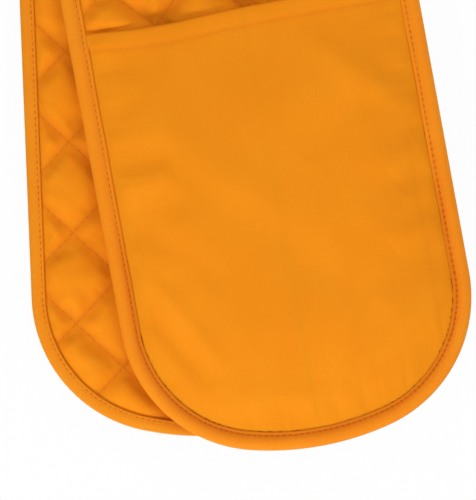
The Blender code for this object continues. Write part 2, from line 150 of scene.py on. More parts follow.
# Stitches: length of each, distance between them and radius of the thread.
QUILT_STITCH_PITCH = 0.0042
QUILT_STITCH_LENGTH = 0.0026
QUILT_STITCH_MARGIN = 0.0008
QUILT_JITTER_SHARE = 0.25
STITCH_STRIDE = 3.1
LINE_STRIDE = 7.7
QUILT_THREAD = 0.00020
TAPE_STITCH_LENGTH = 0.0021
TAPE_THREAD = 0.00033
HEM_STITCH_PITCH = 0.0032
HEM_STITCH_LENGTH = 0.0021
HEM_THREAD = 0.00022
THREAD_WIDTH_SHARE = 1.25
THREAD_SINK_SHARE = 0.35

# Pocket panels.
SEAM_INSET = 0.0098
PANEL_LIP = 0.0011
PANEL_EDGE_TOP = 0.0019
PANEL_POWER_SHARE = 0.85
PANEL_CLOUD = 0.075
PANEL_CLOUD_HEIGHT = 0.00045
POCKET_RISE = 0.034
TIP_RISE = 0.058
TIP_RISE_START = 0.110
TIP_RISE_RUN = 0.070
HOLD_RUN = 0.030
CREASE_RUN = 0.012
MOUTH_DROP = 0.0038
MOUTH_DROP_RUN = 0.060
MOUTH_CLEARANCE = 0.0015
CEILING_SLOPE_SHARE = 1.6
PANEL_CELL = 0.00125
PANEL_THICK = 0.0016
PANEL_THICK_AT_SEAM = 0.0006
PANEL_THICK_RUN = 0.012
LINING_THICK = 0.0005
LINING_GAP = 0.00015
HEM_WIDTH = 0.0095
HEM_THICK = 0.0024
HEM_TAPER = 0.0015
HEM_TAPER_AT_SEAM = 0.010
HEM_ROUND_SHARE = 0.98
NOSE_ROWS = 4
MOUTH_OPEN_REACH = 0.060

# How a mouth's edge wanders into the pocket: height, place across and width of each wave.
MOUTH_WAVES = ((0.0016, -0.040, 0.026), (-0.0012, SEAM_INSET - HALF_WIDTH, 0.012))

# Small forms of a pocket's face: heights, and the distances over which they fade.
SWELL_RUN = 0.005
SEAM_PUCKER = 0.00055
SEAM_PUCKER_LENGTH = 0.016
SEAM_PUCKER_REACH = 0.010
SEAM_PUCKER_RUN = 0.006
TIP_SEAM_STRETCH_SHARE = 1.3
HEM_DIP = 0.00060
HEM_DIP_WIDTH = 0.0011
HEM_DIP_STEADY_SHARE = 0.7
HEM_DIP_STITCH_SHARE = 0.3
HEM_SWELL = 0.00045
HEM_SWELL_RISE = 0.004
HEM_SWELL_FALL = 0.002
HEM_RIPPLE = 0.00025
HEM_RIPPLE_LENGTH = 0.019
HEM_RIPPLE_REACH = 0.012
# Painted shade along the hem's stitch line and at the mouth's folded edge.
HEM_PAINTED_SHADE_SHARE = 0.9
HEM_PAINTED_SHADE_REACH = 0.0008
MOUTH_EDGE_PAINTED_SHADE_SHARE = 0.8
MOUTH_EDGE_PAINTED_SHADE_REACH = 0.0007

# Where the strip's bodies meet.
FOLD_PIECES = 4
FOLD_TAIL = 0.0067
WRIST_SET_BACK = 0.006
FOLD_BEND = 0.0012
WRIST_BEND_STRAP_SIDE = 0.005
WRIST_BEND_HAND_SIDE = 0.006

HAND_LEVEL = PANEL_TOP
FRONT_LEVEL = HAND_LEVEL + 2 * LOFT_HEIGHT + GAP
FOLD_RADIUS = (FRONT_LEVEL - LOFT_HEIGHT) / 2
FOLD_CENTRE_Z = FOLD_RADIUS + LOFT_HEIGHT
MOUTH_SKEW = HALF_WIDTH * math.sin(LEG_SPREAD)
WRIST_BEFORE_MOUTH = MOUTH_SKEW + WRIST_SET_BACK
FRONT_WRIST = (FRONT_LENGTH - POCKET_DEPTH) * math.cos(LEG_SPREAD) - WRIST_BEFORE_MOUTH
REAR_WRIST = (REAR_LENGTH - POCKET_DEPTH) * math.cos(LEG_SPREAD) - WRIST_BEFORE_MOUTH

# A rounded end is a flatter arc between two corner arcs.
CORNER_ACROSS = HALF_WIDTH - CORNER_RADIUS
CORNER_PAST_TIP_CENTRE = math.sqrt((TIP_RADIUS - CORNER_RADIUS) ** 2 - CORNER_ACROSS**2)
TIP_ANGLE = math.atan2(CORNER_ACROSS, CORNER_PAST_TIP_CENTRE)
CORNER_ARC = CORNER_RADIUS * (math.pi / 2 - TIP_ANGLE)
TIP_ARC = TIP_RADIUS * 2 * TIP_ANGLE


def strap_slope():
    """Slope of the rear strap, which climbs from the fold to the level of the rear hand."""
    slope = 0
    for attempt in range(4):
        strap = REAR_WRIST - FOLD_RADIUS * (math.pi / 2 + slope)
        rise = math.asin((HAND_LEVEL - FOLD_CENTRE_Z) / math.hypot(strap, FOLD_RADIUS))
        slope = math.atan2(FOLD_RADIUS, strap) + rise
    return slope


STRAP_SLOPE = strap_slope()
FOLD_TURN = math.pi + STRAP_SLOPE
FOLD_FRONT = FOLD_RADIUS * math.pi / 2
FOLD_REAR = FOLD_RADIUS * FOLD_TURN - FOLD_FRONT
BEND_LINES = [FOLD_RADIUS * FOLD_TURN * i / FOLD_PIECES - FOLD_REAR for i in range(FOLD_PIECES + 1)]
JOINT_LINES = [-REAR_WRIST, *BEND_LINES, FRONT_WRIST]

# The lengths that the cloth is cut into, each with one joint line in it.
SPLIT_LINES = [(low + high) / 2 for low, high in zip(JOINT_LINES, JOINT_LINES[1:-1])]
SPLIT_LINES.append(FOLD_FRONT + FOLD_TAIL)
SECTIONS = [
    ("rear_end", ["rear_hand"]),
    ("rear_bend", ["rear_strap"]),
    ("fold_low", ["fold_1"]),
    ("fold_middle", ["fold_2"]),
    ("fold_high", ["fold_3"]),
    ("fold_end", ["fold_4", "fold_5"]),
    ("front_end", ["front_strap", "front_hand"]),
]
LAST_SECTION = len(SECTIONS) - 1


# The strip's coordinates and its folded path.


def length_of(along):
    """The length of the leg that points lie on."""
    return np.where(np.asarray(along) > 0, FRONT_LENGTH, REAR_LENGTH)


def flat(across, along):
    """Turns strip coordinates into the flat sheet's x and its distance past the crease."""
    return (
        across * math.cos(LEG_SPREAD) + along * math.sin(LEG_SPREAD),
        along * math.cos(LEG_SPREAD) - across * math.sin(LEG_SPREAD),
    )


def along_at(across, past):
    """The distance along the strip at which a line square to X is crossed."""
    return (past + across * math.sin(LEG_SPREAD)) / math.cos(LEG_SPREAD)


def end_reach(length):
    """How far to its side one end of the flat sheet reaches."""
    return flat(CORNER_ACROSS, length - TIP_RADIUS + CORNER_PAST_TIP_CENTRE)[0] + CORNER_RADIUS


CENTRE_X = (end_reach(FRONT_LENGTH) - end_reach(REAR_LENGTH)) / 2
FOLD_CENTRE_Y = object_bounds()[1].y - FOLD_RADIUS - LOFT_HEIGHT


def place(across, along, height):
    """Lays points of the strip on its folded path; the three arguments are arrays."""
    x, past = flat(across, along)
    front_y = FOLD_CENTRE_Y - (past - FOLD_FRONT)
    front_z = FRONT_LEVEL + height
    turn = past / FOLD_RADIUS
    radius = FOLD_RADIUS + height
    fold_y = FOLD_CENTRE_Y + radius * np.cos(turn)
    fold_z = FOLD_CENTRE_Z + radius * np.sin(turn)
    run = np.minimum(-past, REAR_WRIST) - FOLD_REAR
    level_run = np.maximum(-past - REAR_WRIST, 0)
    sine = math.sin(STRAP_SLOPE)
    cosine = math.cos(STRAP_SLOPE)
    on_strap = level_run <= 0
    rear_y = FOLD_CENTRE_Y - FOLD_RADIUS * sine - run * cosine - level_run
    rear_y = rear_y - np.where(on_strap, height * sine, 0)
    rear_z = FOLD_CENTRE_Z - FOLD_RADIUS * cosine + run * sine
    rear_z = rear_z - height * np.where(on_strap, cosine, 1)
    in_front = past >= FOLD_FRONT
    in_fold = past >= -FOLD_REAR
    y = np.where(in_front, front_y, np.where(in_fold, fold_y, rear_y))
    z = np.where(in_front, front_z, np.where(in_fold, fold_z, rear_z))
    return np.stack(np.broadcast_arrays(x - CENTRE_X, y, z), axis=-1)


def edge_distance(across, along):
    """How far points lie inside the strip's outline."""
    side = np.abs(across)
    past_tip = np.abs(along) - (length_of(along) - TIP_RADIUS)
    past_corner = past_tip - CORNER_PAST_TIP_CENTRE
    at_tip = (past_tip > 0) & (np.arctan2(side, past_tip) < TIP_ANGLE)
    tip = TIP_RADIUS - np.hypot(side, past_tip)
    corner = CORNER_RADIUS - np.hypot(side - CORNER_ACROSS, past_corner)
    return np.where(at_tip, tip, np.where(past_corner > 0, corner, HALF_WIDTH - side))


# Soft steps, ripples and clouds.

SCATTER_STEP = 127.1
SCATTER_SEED_STEP = 311.7
SCATTER_SPREAD = 43758.5453
RIPPLE_OCTAVES = ((1, 0.45), (0.62, 0.35), (0.37, 0.20))
CLOUD_WAVES = 7
LEAST_STRETCH_SHARE = 0.7
STRETCH_SPREAD_SHARE = 0.6


def smooth_step(share):
    share = np.clip(share, 0, 1)
    return share * share * (3 - 2 * share)


def dome(share):
    """0 at 0 and 1 from 1 on, round like a quarter of a swollen section."""
    return np.sin(np.pi / 2 * np.clip(share, 0, 1))


def bump(distance, width):
    """1 at a line, falling to 0 on both sides of it."""
    return np.exp(-((distance / width) ** 2))


def scatter(number, seed):
    """A steady pseudo-random value from 0 to 1 for each whole number."""
    wave = np.sin(np.asarray(number) * SCATTER_STEP + seed * SCATTER_SEED_STEP) * SCATTER_SPREAD
    return wave - np.floor(wave)


def ripple(run, number, seed, longest):
    """Uneven ripples along a seam, from -1 to 1, different for each seam number."""
    total = 0
    for octave, (ratio, weight) in enumerate(RIPPLE_OCTAVES):
        phase = 2 * np.pi * scatter(number, seed + octave)
        total = total + weight * np.sin(2 * np.pi * run / (longest * ratio) + phase)
    return total


def soft_noise(across, along, size, seed):
    """Smooth clouds of about one size, from -1 to 1."""
    total = 0
    for i in range(CLOUD_WAVES):
        turn = 2 * np.pi * scatter(i, seed)
        shift = 2 * np.pi * scatter(i, seed + 0.5)
        stretch = LEAST_STRETCH_SHARE + STRETCH_SPREAD_SHARE * scatter(i, seed + 0.25)
        run = across * math.cos(turn) + along * math.sin(turn)
        total = total + np.sin(2 * np.pi * run / (size * stretch) + shift)
    return total / 4


# The stitch lines of the quilting.


def stitch_lines(across, along):
    """Both stitch coordinates of points, the nearest lines' numbers and the distances to them."""
    side = across - CROSSING_OFF_MIDDLE
    run = along - CROSSING_ALONG
    coordinates = [(side + run) / math.sqrt(2), (side - run) / math.sqrt(2)]
    numbers = [np.round(coordinate / LINE_SPACING) for coordinate in coordinates]
    gaps = [np.abs(spot - number * LINE_SPACING) for spot, number in zip(coordinates, numbers)]
    return coordinates, numbers, gaps


def seam_gap(across, along):
    """How far points are from the nearest stitch line of either direction."""
    return np.minimum(*stitch_lines(across, along)[2])


def painted_seam_shade(across, along):
    """Painted shade of the quilt: 1 on a stitch line, fading to 0 a little way off it."""
    gap = seam_gap(across, along)
    return sum(share * np.exp(-gap / reach) for share, reach in PAINTED_SEAM_SHADES)


def drawn_pillows(across, along, seed):
    """How full the padding stands at each place, from 0 to about 1, drawn by formula."""
    coordinates, gaps = stitch_lines(across, along)[::2]
    first_swell, second_swell = (np.sin(np.pi * gap / LINE_SPACING) ** PILLOW_POWER_SHARE for gap in gaps)
    first_cell, second_cell = (np.floor(spot / LINE_SPACING) for spot in coordinates)
    cell = first_cell * CELLS_APART + second_cell
    fullness = LEAST_FULLNESS_SHARE + FULLNESS_SPREAD_SHARE * scatter(cell, seed)
    uneven = 1
    for i, (size, share) in enumerate(PILLOW_CLOUDS):
        uneven = uneven + share * soft_noise(across, along, size, seed + i)
    return first_swell * second_swell * fullness * uneven


# Cloth simulation on flat sheets, which are read as grids of heights.


def swell_cloth(points, quads, held, growth_share, pressure):
    """Runs a cloth simulation of a sheet that swells between its held points."""
    mesh = bpy.data.meshes.new("swelling_sheet")
    mesh.from_pydata(points.tolist(), [], quads.tolist())
    sheet = bpy.data.objects.new("swelling_sheet", mesh)
    bpy.context.scene.collection.objects.link(sheet)
    sheet.vertex_groups.new(name="held").add(np.flatnonzero(held).tolist(), 1.0, "REPLACE")
    cloth = sheet.modifiers.new("cloth", "CLOTH")
    cloth.settings.vertex_group_mass = "held"
    for setting, value in CLOTH_SETTINGS.items():
        setattr(cloth.settings, setting, value)
    cloth.settings.shrink_min = -growth_share
    cloth.settings.uniform_pressure_force = pressure
    cloth.settings.effector_weights.gravity = 0
    cloth.collision_settings.use_collision = False
    cloth.point_cache.frame_start = 1
    cloth.point_cache.frame_end = SHEET_STEPS
    for step in range(1, SHEET_STEPS + 1):
        bpy.context.scene.frame_set(step)
    settled = sheet.evaluated_get(bpy.context.evaluated_depsgraph_get()).data
    spots = np.empty(len(points) * 3)
    settled.vertices.foreach_get("co", spots)
    bpy.data.objects.remove(sheet)
    bpy.data.meshes.remove(mesh)
    bpy.context.scene.frame_set(1)
    return spots.reshape(-1, 3)


def soften(field):
    """Averages each value of a grid with its neighbours."""
    for axis in (0, 1):
        wide = np.pad(field, [(1, 1) if i == axis else (0, 0) for i in (0, 1)], mode="edge")
        steps = np.arange(field.shape[axis])
        low, middle, high = (np.take(wide, steps + i, axis=axis) for i in range(3))
        field = (low + 2 * middle + high) / 4
    return field


def wide_average(field, turns):
    """A grid softened many times, which leaves only its broad form."""
    for turn in range(turns):
        field = soften(field)
    return field


def spline_weights(spot):
    """The four neighbours of a cubic B-spline and their weights."""
    t = spot - np.floor(spot)
    weights = ((1 - t) ** 3, 3 * t**3 - 6 * t**2 + 4, 3 * (t + t**2 - t**3) + 1, t**3)
    return [(step - 1, weight / 6) for step, weight in enumerate(weights)]


def sample_grid(field, row, column):
    """A smooth surface through a grid of values, at fractional rows and columns."""
    total = 0
    for row_step, row_weight in spline_weights(row):
        for column_step, column_weight in spline_weights(column):
            rows = np.clip(np.floor(row).astype(int) + row_step, 0, field.shape[0] - 1)
            columns = np.clip(np.floor(column).astype(int) + column_step, 0, field.shape[1] - 1)
            total = total + row_weight * column_weight * field[rows, columns]
    return total


def grid_quads(rows, columns):
    """Quads of a grid of points that are numbered row by row."""
    index = np.arange(rows * columns).reshape(rows, columns)
    corners = (index[:-1, :-1], index[:-1, 1:], index[1:, 1:], index[1:, :-1])
    return np.stack([corner.ravel() for corner in corners], axis=1)


def sheet_grid(low, high, cell):
    """Across, along and quads of a flat grid between two corners, with its rows along the strip."""
    columns = int((high[0] - low[0]) / cell) + 2
    rows = int((high[1] - low[1]) / cell) + 2
    spots = (low[1] + np.arange(rows) * cell, low[0] + np.arange(columns) * cell)
    along, across = np.meshgrid(*spots, indexing="ij")
    return across, along, grid_quads(rows, columns)


def stand(across, along, height):
    """Points of a flat sheet, with their heights as z."""
    return np.stack((across.ravel(), along.ravel(), height.ravel()), axis=1)


def make_swollen_quilt(fade_start, seed):
    """Simulates one face of the quilt and returns a function that gives its fullness anywhere."""
    half_cells = int(HALF_WIDTH / SHEET_CELL) + 1
    low_cells = int((REAR_LENGTH + CROSSING_ALONG) / SHEET_CELL) + 1
    low = (CROSSING_OFF_MIDDLE - half_cells * SHEET_CELL, CROSSING_ALONG - low_cells * SHEET_CELL)
    across, along, quads = sheet_grid(low, (HALF_WIDTH, FRONT_LENGTH), SHEET_CELL)
    inside = edge_distance(across, along) - fade_start
    held = (seam_gap(across, along) < SHEET_CELL / 4) | (inside < SHEET_CELL / 2)
    quads = quads[(inside.ravel() > -SHEET_CELL)[quads].all(axis=1)]
    start = SHEET_START_HEIGHT * drawn_pillows(across, along, seed) * dome(inside / QUILT_FADE)
    points = stand(across, along, np.where(held, 0, start))
    spots = swell_cloth(points, quads, held.ravel(), SHEET_GROWTH_SHARE, SHEET_PRESSURE)
    field = np.where(inside > -SHEET_CELL, spots[:, 2].reshape(across.shape), 0) / SHEET_FULL_HEIGHT
    field = soften(field)
    field = field + WRINKLE_GAIN_SHARE * (field - wide_average(field, WRINKLE_SOFTENINGS))

    def fullness(across, along):
        return sample_grid(field, (along - low[1]) / SHEET_CELL, (across - low[0]) / SHEET_CELL)

    return fullness


def make_swollen_panel(direction):
    """Simulates one pocket panel and returns a function that gives what the swelling adds."""
    across, inward, quads = sheet_grid((-HALF_WIDTH, 0.0), (HALF_WIDTH, POCKET_DEPTH), PANEL_SHEET_CELL)
    along = direction * (end_length(direction) - POCKET_DEPTH + inward)
    inside = edge_distance(across, along) - SEAM_INSET
    quads = quads[(inside.ravel() > -PANEL_SHEET_CELL)[quads].all(axis=1)]
    points = stand(across, inward, panel_form(across, along, inward))
    held = (inside < PANEL_SHEET_CELL / 2).ravel()
    spots = swell_cloth(points, quads, held, PANEL_GROWTH_SHARE, PANEL_PRESSURE)
    rise = (spots - points)[:, 2].reshape(across.shape)
    rise = np.clip(np.where(inside > -PANEL_SHEET_CELL, rise, 0), -PANEL_SWELL_CAP, PANEL_SWELL_CAP)
    field = soften(rise - wide_average(rise, PANEL_SOFTENINGS))

    def swelling(across, inward):
        return sample_grid(field, inward / PANEL_SHEET_CELL, (across + HALF_WIDTH) / PANEL_SHEET_CELL)

    return swelling


# The quilt's height.


def pocket_ceiling(across, along):
    """How high the padding may stand under a pocket's lining, and on its way out of the mouth."""
    strap = length_of(along) - POCKET_DEPTH
    inward = np.abs(along) - length_of(along) + POCKET_DEPTH
    at_mouth = np.sign(along) * np.maximum(np.abs(along), strap)
    face = panel_form(across, at_mouth, np.clip(inward, 0, POCKET_DEPTH))
    underside = face - HEM_THICK - LINING_THICK - GAP
    outside = np.maximum(-inward - MOUTH_CLEARANCE, 0)
    return np.maximum(underside + CEILING_SLOPE_SHARE * outside, EDGE_HEIGHT + GAP)


def loft_limit(across, along, side):
    """How high the padding may stand: less where the legs, a pocket or the fold hold it down."""
    past = flat(across, along)[1]
    if side > 0:
        before_mouth = length_of(along) - POCKET_DEPTH - np.abs(along)
        free = smooth_step((before_mouth + MOUTH_FADE) / MOUTH_FADE)
        free = free * smooth_step((past - FOLD_FRONT) / FOLD_FADE)
        return np.minimum(LOFT_HEIGHT + FREE_LOFT * free, pocket_ceiling(across, along))
    spots = place(across, along, np.zeros_like(across))
    x = spots[..., 0] + CENTRE_X
    over = FOLD_CENTRE_Y + FOLD_FRONT - spots[..., 1]
    front_across = x * math.cos(LEG_SPREAD) - over * math.sin(LEG_SPREAD)
    front_along = x * math.sin(LEG_SPREAD) + over * math.cos(LEG_SPREAD)
    beyond_front_leg = -edge_distance(front_across, front_along)
    free = smooth_step(beyond_front_leg / LEG_FADE) * smooth_step((-past - FOLD_REAR) / FOLD_FADE)
    return LOFT_HEIGHT + FREE_LOFT * free


def quilt_height(across, along, fade_start, side, fullness):
    """How far the quilted cloth stands from the middle of the strip."""
    (first, second), numbers, gaps = stitch_lines(across, along)
    valley = dome(gaps[0] / VALLEY) * dome(gaps[1] / VALLEY)
    inside = edge_distance(across, along) - fade_start
    pucker = 0
    for run, number, gap, seed in zip((second, first), numbers, gaps, PUCKER_SEEDS):
        pucker = pucker + ripple(run, number, side + seed, PUCKER_LENGTH) * np.exp(-gap / PUCKER_REACH)
    full = np.clip(fullness(across, along) + PUCKER_SHARE * pucker, LEAST_FILL_SHARE, MOST_FILL_SHARE)
    share = full**FULLNESS_POWER_SHARE * valley * dome(inside / QUILT_EDGE_RISE)
    levelled = share / (1 + FILL_LEVELLING_SHARE * share**4) ** 0.25
    return EDGE_HEIGHT + (loft_limit(across, along, side) - EDGE_HEIGHT) * np.minimum(levelled, 1)


# Meshes from arrays.


def unit(vectors):
    size = np.linalg.norm(vectors, axis=-1, keepdims=True)
    return vectors / np.where(size > 0, size, 1)


def face_turns(points, group):
    """Each face's normal times twice its area, for an array of triangles or of quads."""
    a, b, c, d = (points[group[:, i]] for i in (0, 1, 2, -1))
    return np.cross(c - a, d - b)


def vertex_normals(points, faces):
    """Smooth normals of points, from arrays of faces with the same number of corners each."""
    normals = np.zeros_like(points)
    for group in faces:
        turns = face_turns(points, group)
        for corner in range(group.shape[1]):
            np.add.at(normals, group[:, corner], turns)
    return unit(normals)


def make_mesh(name, points, faces, material, uvs=None, normals=None, walls=(), shade=None):
    """A mesh object from arrays. Walls are faces that keep their own flat normals."""
    groups = [group for group in [*faces, *walls] if len(group)]
    used, inverse = np.unique(np.concatenate([group.ravel() for group in groups]), return_inverse=True)
    loops = inverse.astype(np.int32)
    counts = np.concatenate([np.full(len(group), group.shape[1]) for group in groups])
    starts = np.concatenate(([0], np.cumsum(counts)[:-1])).astype(np.int32)
    mesh = bpy.data.meshes.new(name)
    mesh.vertices.add(len(used))
    mesh.vertices.foreach_set("co", points[used].astype(np.float32).ravel())
    mesh.loops.add(len(loops))
    mesh.loops.foreach_set("vertex_index", loops)
    mesh.polygons.add(len(counts))
    mesh.polygons.foreach_set("loop_start", starts)
    mesh.polygons.foreach_set("use_smooth", np.ones(len(counts), bool))
    mesh.update(calc_edges=True)
    if uvs is not None:
        layer = mesh.uv_layers.new(name="strip")
        layer.data.foreach_set("uv", uvs[used][loops].astype(np.float32).ravel())
    # The seam attribute holds painted shade, darker where shade falls along stitch lines, grooves and the
    # hem.
    if shade is not None:
        attribute = mesh.attributes.new("seam", "FLOAT", "POINT")
        attribute.data.foreach_set("value", shade[used].astype(np.float32))
    if normals is not None:
        parts = [normals[group.ravel()] for group in faces if len(group)]
        for group in walls:
            parts.append(np.repeat(unit(face_turns(points, group)), group.shape[1], axis=0))
        mesh.normals_split_custom_set(np.concatenate(parts).astype(np.float32))
    mesh.materials.append(material)
    piece = bpy.data.objects.new(name, mesh)
    bpy.context.scene.collection.objects.link(piece)
    return piece


def rim(quads):
    """Edges that only one of the quads has, as pairs in the quads' own direction."""
    edges = np.concatenate([quads[:, [i, (i + 1) % 4]] for i in range(4)])
    keys = np.sort(edges, axis=1) @ np.array([int(quads.max()) + 1, 1])
    index, count = np.unique(keys, return_index=True, return_counts=True)[1:]
    return edges[index[count == 1]]


def closed_slab(quads, top_of, bottom_of):
    """Top quads, bottom quads and the walls between them, as a closed body's faces."""
    start, end = rim(quads).T
    walls = np.stack((top_of[end], top_of[start], bottom_of[start], bottom_of[end]), axis=1)
    return top_of[quads], bottom_of[quads][:, ::-1], walls


# The bends between bodies.


def bend_points(section):
    """Start and end of the bend at a joint line, as points on the strip's path."""
    line = JOINT_LINES[section]
    low, high = FOLD_BEND, FOLD_BEND
    if section == 0:
        low, high = WRIST_BEND_HAND_SIDE, WRIST_BEND_STRAP_SIDE
    if section == LAST_SECTION:
        low, high = WRIST_BEND_STRAP_SIDE, WRIST_BEND_HAND_SIDE
    before, middle, after = (
        place(0.0, along_at(0.0, line + step), 0.0) for step in (-FOLD_BEND / 2, 0, FOLD_BEND / 2)
    )
    direction = unit((after - before) * (0, 1, 1))
    return Vector(middle - direction * low), Vector(middle + direction * high)


def bend_piece(piece, section):
    """Bakes a piece of the strip into world space; the bend at its joint line is worked out but not
    applied.
    """
    start, end = bend_points(section)
    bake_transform(piece)


def seam_aligned_faces(quads, i, j):
    """Splits quads whose diagonal is a stitch line along it, and leaves the others whole."""
    corner_i = i[quads[:, 0]]
    corner_j = j[quads[:, 0]]
    rising = (corner_i - corner_j) % CELLS_PER_DIAMOND == 0
    falling = (corner_i + corner_j + 1) % CELLS_PER_DIAMOND == 0
    falling = falling & ~rising
    first = np.concatenate((quads[rising][:, [0, 1, 2]], quads[rising][:, [0, 2, 3]]))
    second = np.concatenate((quads[falling][:, [0, 1, 3]], quads[falling][:, [1, 2, 3]]))
    return quads[~rising & ~falling], np.concatenate((first, second))


def make_quilt(material):
    """The padded strip in seven closed pieces, one for each joint line."""
    half_cells = int(HALF_WIDTH / CELL) + 3
    low_cells = -int((REAR_LENGTH + CROSSING_ALONG) / CELL) - 2
    high_cells = int(CROSSING_FROM_FRONT_END / CELL) + 2
    i, j = np.meshgrid(np.arange(-half_cells, half_cells + 1), np.arange(low_cells, high_cells + 1))
    quads = grid_quads(*i.shape)
    i, j = i.ravel(), j.ravel()
    across = CROSSING_OFF_MIDDLE + i * CELL
    along = CROSSING_ALONG + j * CELL
    inside = edge_distance(across, along) > QUILT_START
    quads = quads[inside[quads].all(axis=1)]
    faces = []
    for side, fade_start in ((1, TAPE_WIDTH), (-1, TAPE_BACK_WIDTH)):
        fullness = partial(drawn_pillows, seed=side + QUILT_SEED)
        fullness = make_swollen_quilt(fade_start, side + QUILT_SEED)
        height = quilt_height(across, along, fade_start, side, fullness)
        faces.append(place(across, along, side * height))
    points = np.concatenate(faces)
    top_of = np.arange(len(i))
    bottom_of = top_of + len(i)
    uvs = np.tile(np.stack((across, along), axis=1), (2, 1))
    # Painted shade in the quilt's valleys along the stitch lines.
    shade = np.tile(painted_seam_shade(across, along), 2)
    normals = vertex_normals(points, [top_of[quads], bottom_of[quads][:, ::-1]])
    section_of = np.searchsorted(SPLIT_LINES, flat(across, along)[1][quads].mean(axis=1))
    for section, (name, nodes) in enumerate(SECTIONS):
        own = quads[section_of == section]
        whole, split = seam_aligned_faces(own, i, j)
        skins = [whole, split, bottom_of[whole][:, ::-1], bottom_of[split][:, ::-1]]
        walls = [closed_slab(own, top_of, bottom_of)[2]]
        piece = make_mesh(f"{name}_quilt", points, skins, material, uvs, normals, walls, shade)
        layers = ("back_fabric", "wadding", "pocket_side_fabric")
        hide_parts(*[f"{node}_{layer}" for node in nodes for layer in layers])
        bend_piece(piece, section)


# Stitches, each a small thread shape that dips into the cloth at both ends.

THREAD_RINGS = ((-0.5, 0.0), (-0.34, 0.8), (0.0, 1.0), (0.34, 0.8), (0.5, 0.0))
THREAD_SIDES = 6


def thread_template():
    """Points and faces of one stitch, one unit long and one unit in radius."""
    points = []
    rows = []
    for place_share, radius_share in THREAD_RINGS:
        count = THREAD_SIDES if radius_share else 1
        rows.append([len(points) + side % count for side in range(THREAD_SIDES)])
        for side in range(count):
            angle = 2 * math.pi * side / THREAD_SIDES
            points.append((place_share, radius_share * math.cos(angle), radius_share * math.sin(angle)))
    faces = []
    for near, far in zip(rows, rows[1:]):
        for side in range(THREAD_SIDES):
            after = (side + 1) % THREAD_SIDES
            ring = dict.fromkeys([near[side], near[after], far[after], far[side]])
            faces.append(list(ring)[::-1])
    return np.array(points, float), [np.array([f for f in faces if len(f) == size]) for size in (3, 4)]


def stitches(name, starts, ends, ups, radius, material):
    """Stitches between pairs of points, each sunk by a part of its radius."""
    template, groups = thread_template()
    run = (ends - starts)[:, None]
    along = unit(run)
    side = unit(np.cross(ups[:, None], along))
    up = np.cross(along, side)
    length = np.linalg.norm(run, axis=-1, keepdims=True)
    run_share, side_share, up_share = (template[None, :, i : i + 1] for i in range(3))
    points = (
        ((starts + ends) / 2)[:, None]
        + along * run_share * length
        + side * side_share * radius * THREAD_WIDTH_SHARE
        + up * (up_share - THREAD_SINK_SHARE) * radius
    ).reshape(-1, 3)
    offsets = (np.arange(len(starts)) * len(template))[:, None, None]
    faces = [(group[None] + offsets).reshape(-1, group.shape[1]) for group in groups]
    return make_mesh(name, points, faces, material)


def surface_up(across, along, height, sign):
    """The outward direction of the strip's path at points, on either face."""
    return unit(place(across, along, height + sign * GAP) - place(across, along, height))


def quilt_stitches(material):
    """Stitches of the diamond quilting on both faces, split at the strip's section lines."""
    reach = FRONT_LENGTH + REAR_LENGTH
    line_count = int(reach / LINE_SPACING)
    per_line = int(reach / QUILT_STITCH_PITCH)
    numbers, steps = np.meshgrid(np.arange(-line_count, line_count + 1), np.arange(-per_line, per_line + 1))
    numbers, steps = numbers.ravel(), steps.ravel()
    jitter = QUILT_JITTER_SHARE * (scatter(steps * STITCH_STRIDE + numbers * LINE_STRIDE, seed=5) - 0.5)
    middle = (steps + 0.5 + jitter) * QUILT_STITCH_PITCH
    line = numbers * LINE_SPACING
    rows = []
    for direction in (1, -1):
        ends = []
        for half in (-0.5, 0.5):
            run = middle + half * QUILT_STITCH_LENGTH
            forward = (line - run) / math.sqrt(2) * direction
            ends.append((CROSSING_OFF_MIDDLE + (line + run) / math.sqrt(2), CROSSING_ALONG + forward))
        inside = np.minimum(*[edge_distance(*end) for end in ends])
        for sign, fade_start in ((1, TAPE_WIDTH), (-1, TAPE_BACK_WIDTH)):
            keep = inside > fade_start + QUILT_STITCH_MARGIN
            start, end = ((across[keep], along[keep]) for across, along in ends)
            centre = tuple((low + high) / 2 for low, high in zip(start, end))
            height = np.full(keep.sum(), sign * EDGE_HEIGHT)
            up = surface_up(*centre, height, sign)
            rows.append((place(*start, height), place(*end, height), up, flat(*centre)[1]))
    starts, ends, ups, past = (np.concatenate(column) for column in zip(*rows))
    section_of = np.searchsorted(SPLIT_LINES, past)
    for section, (section_name, _) in enumerate(SECTIONS):
        own = section_of == section
        name = f"{section_name}_quilting_thread"
        piece = stitches(name, starts[own], ends[own], ups[own], QUILT_THREAD, material)
        bend_piece(piece, section)


# The binding tape.

TAPE_INNER = EDGE_HEIGHT + GAP
TAPE_OUTER = TAPE_INNER + TAPE

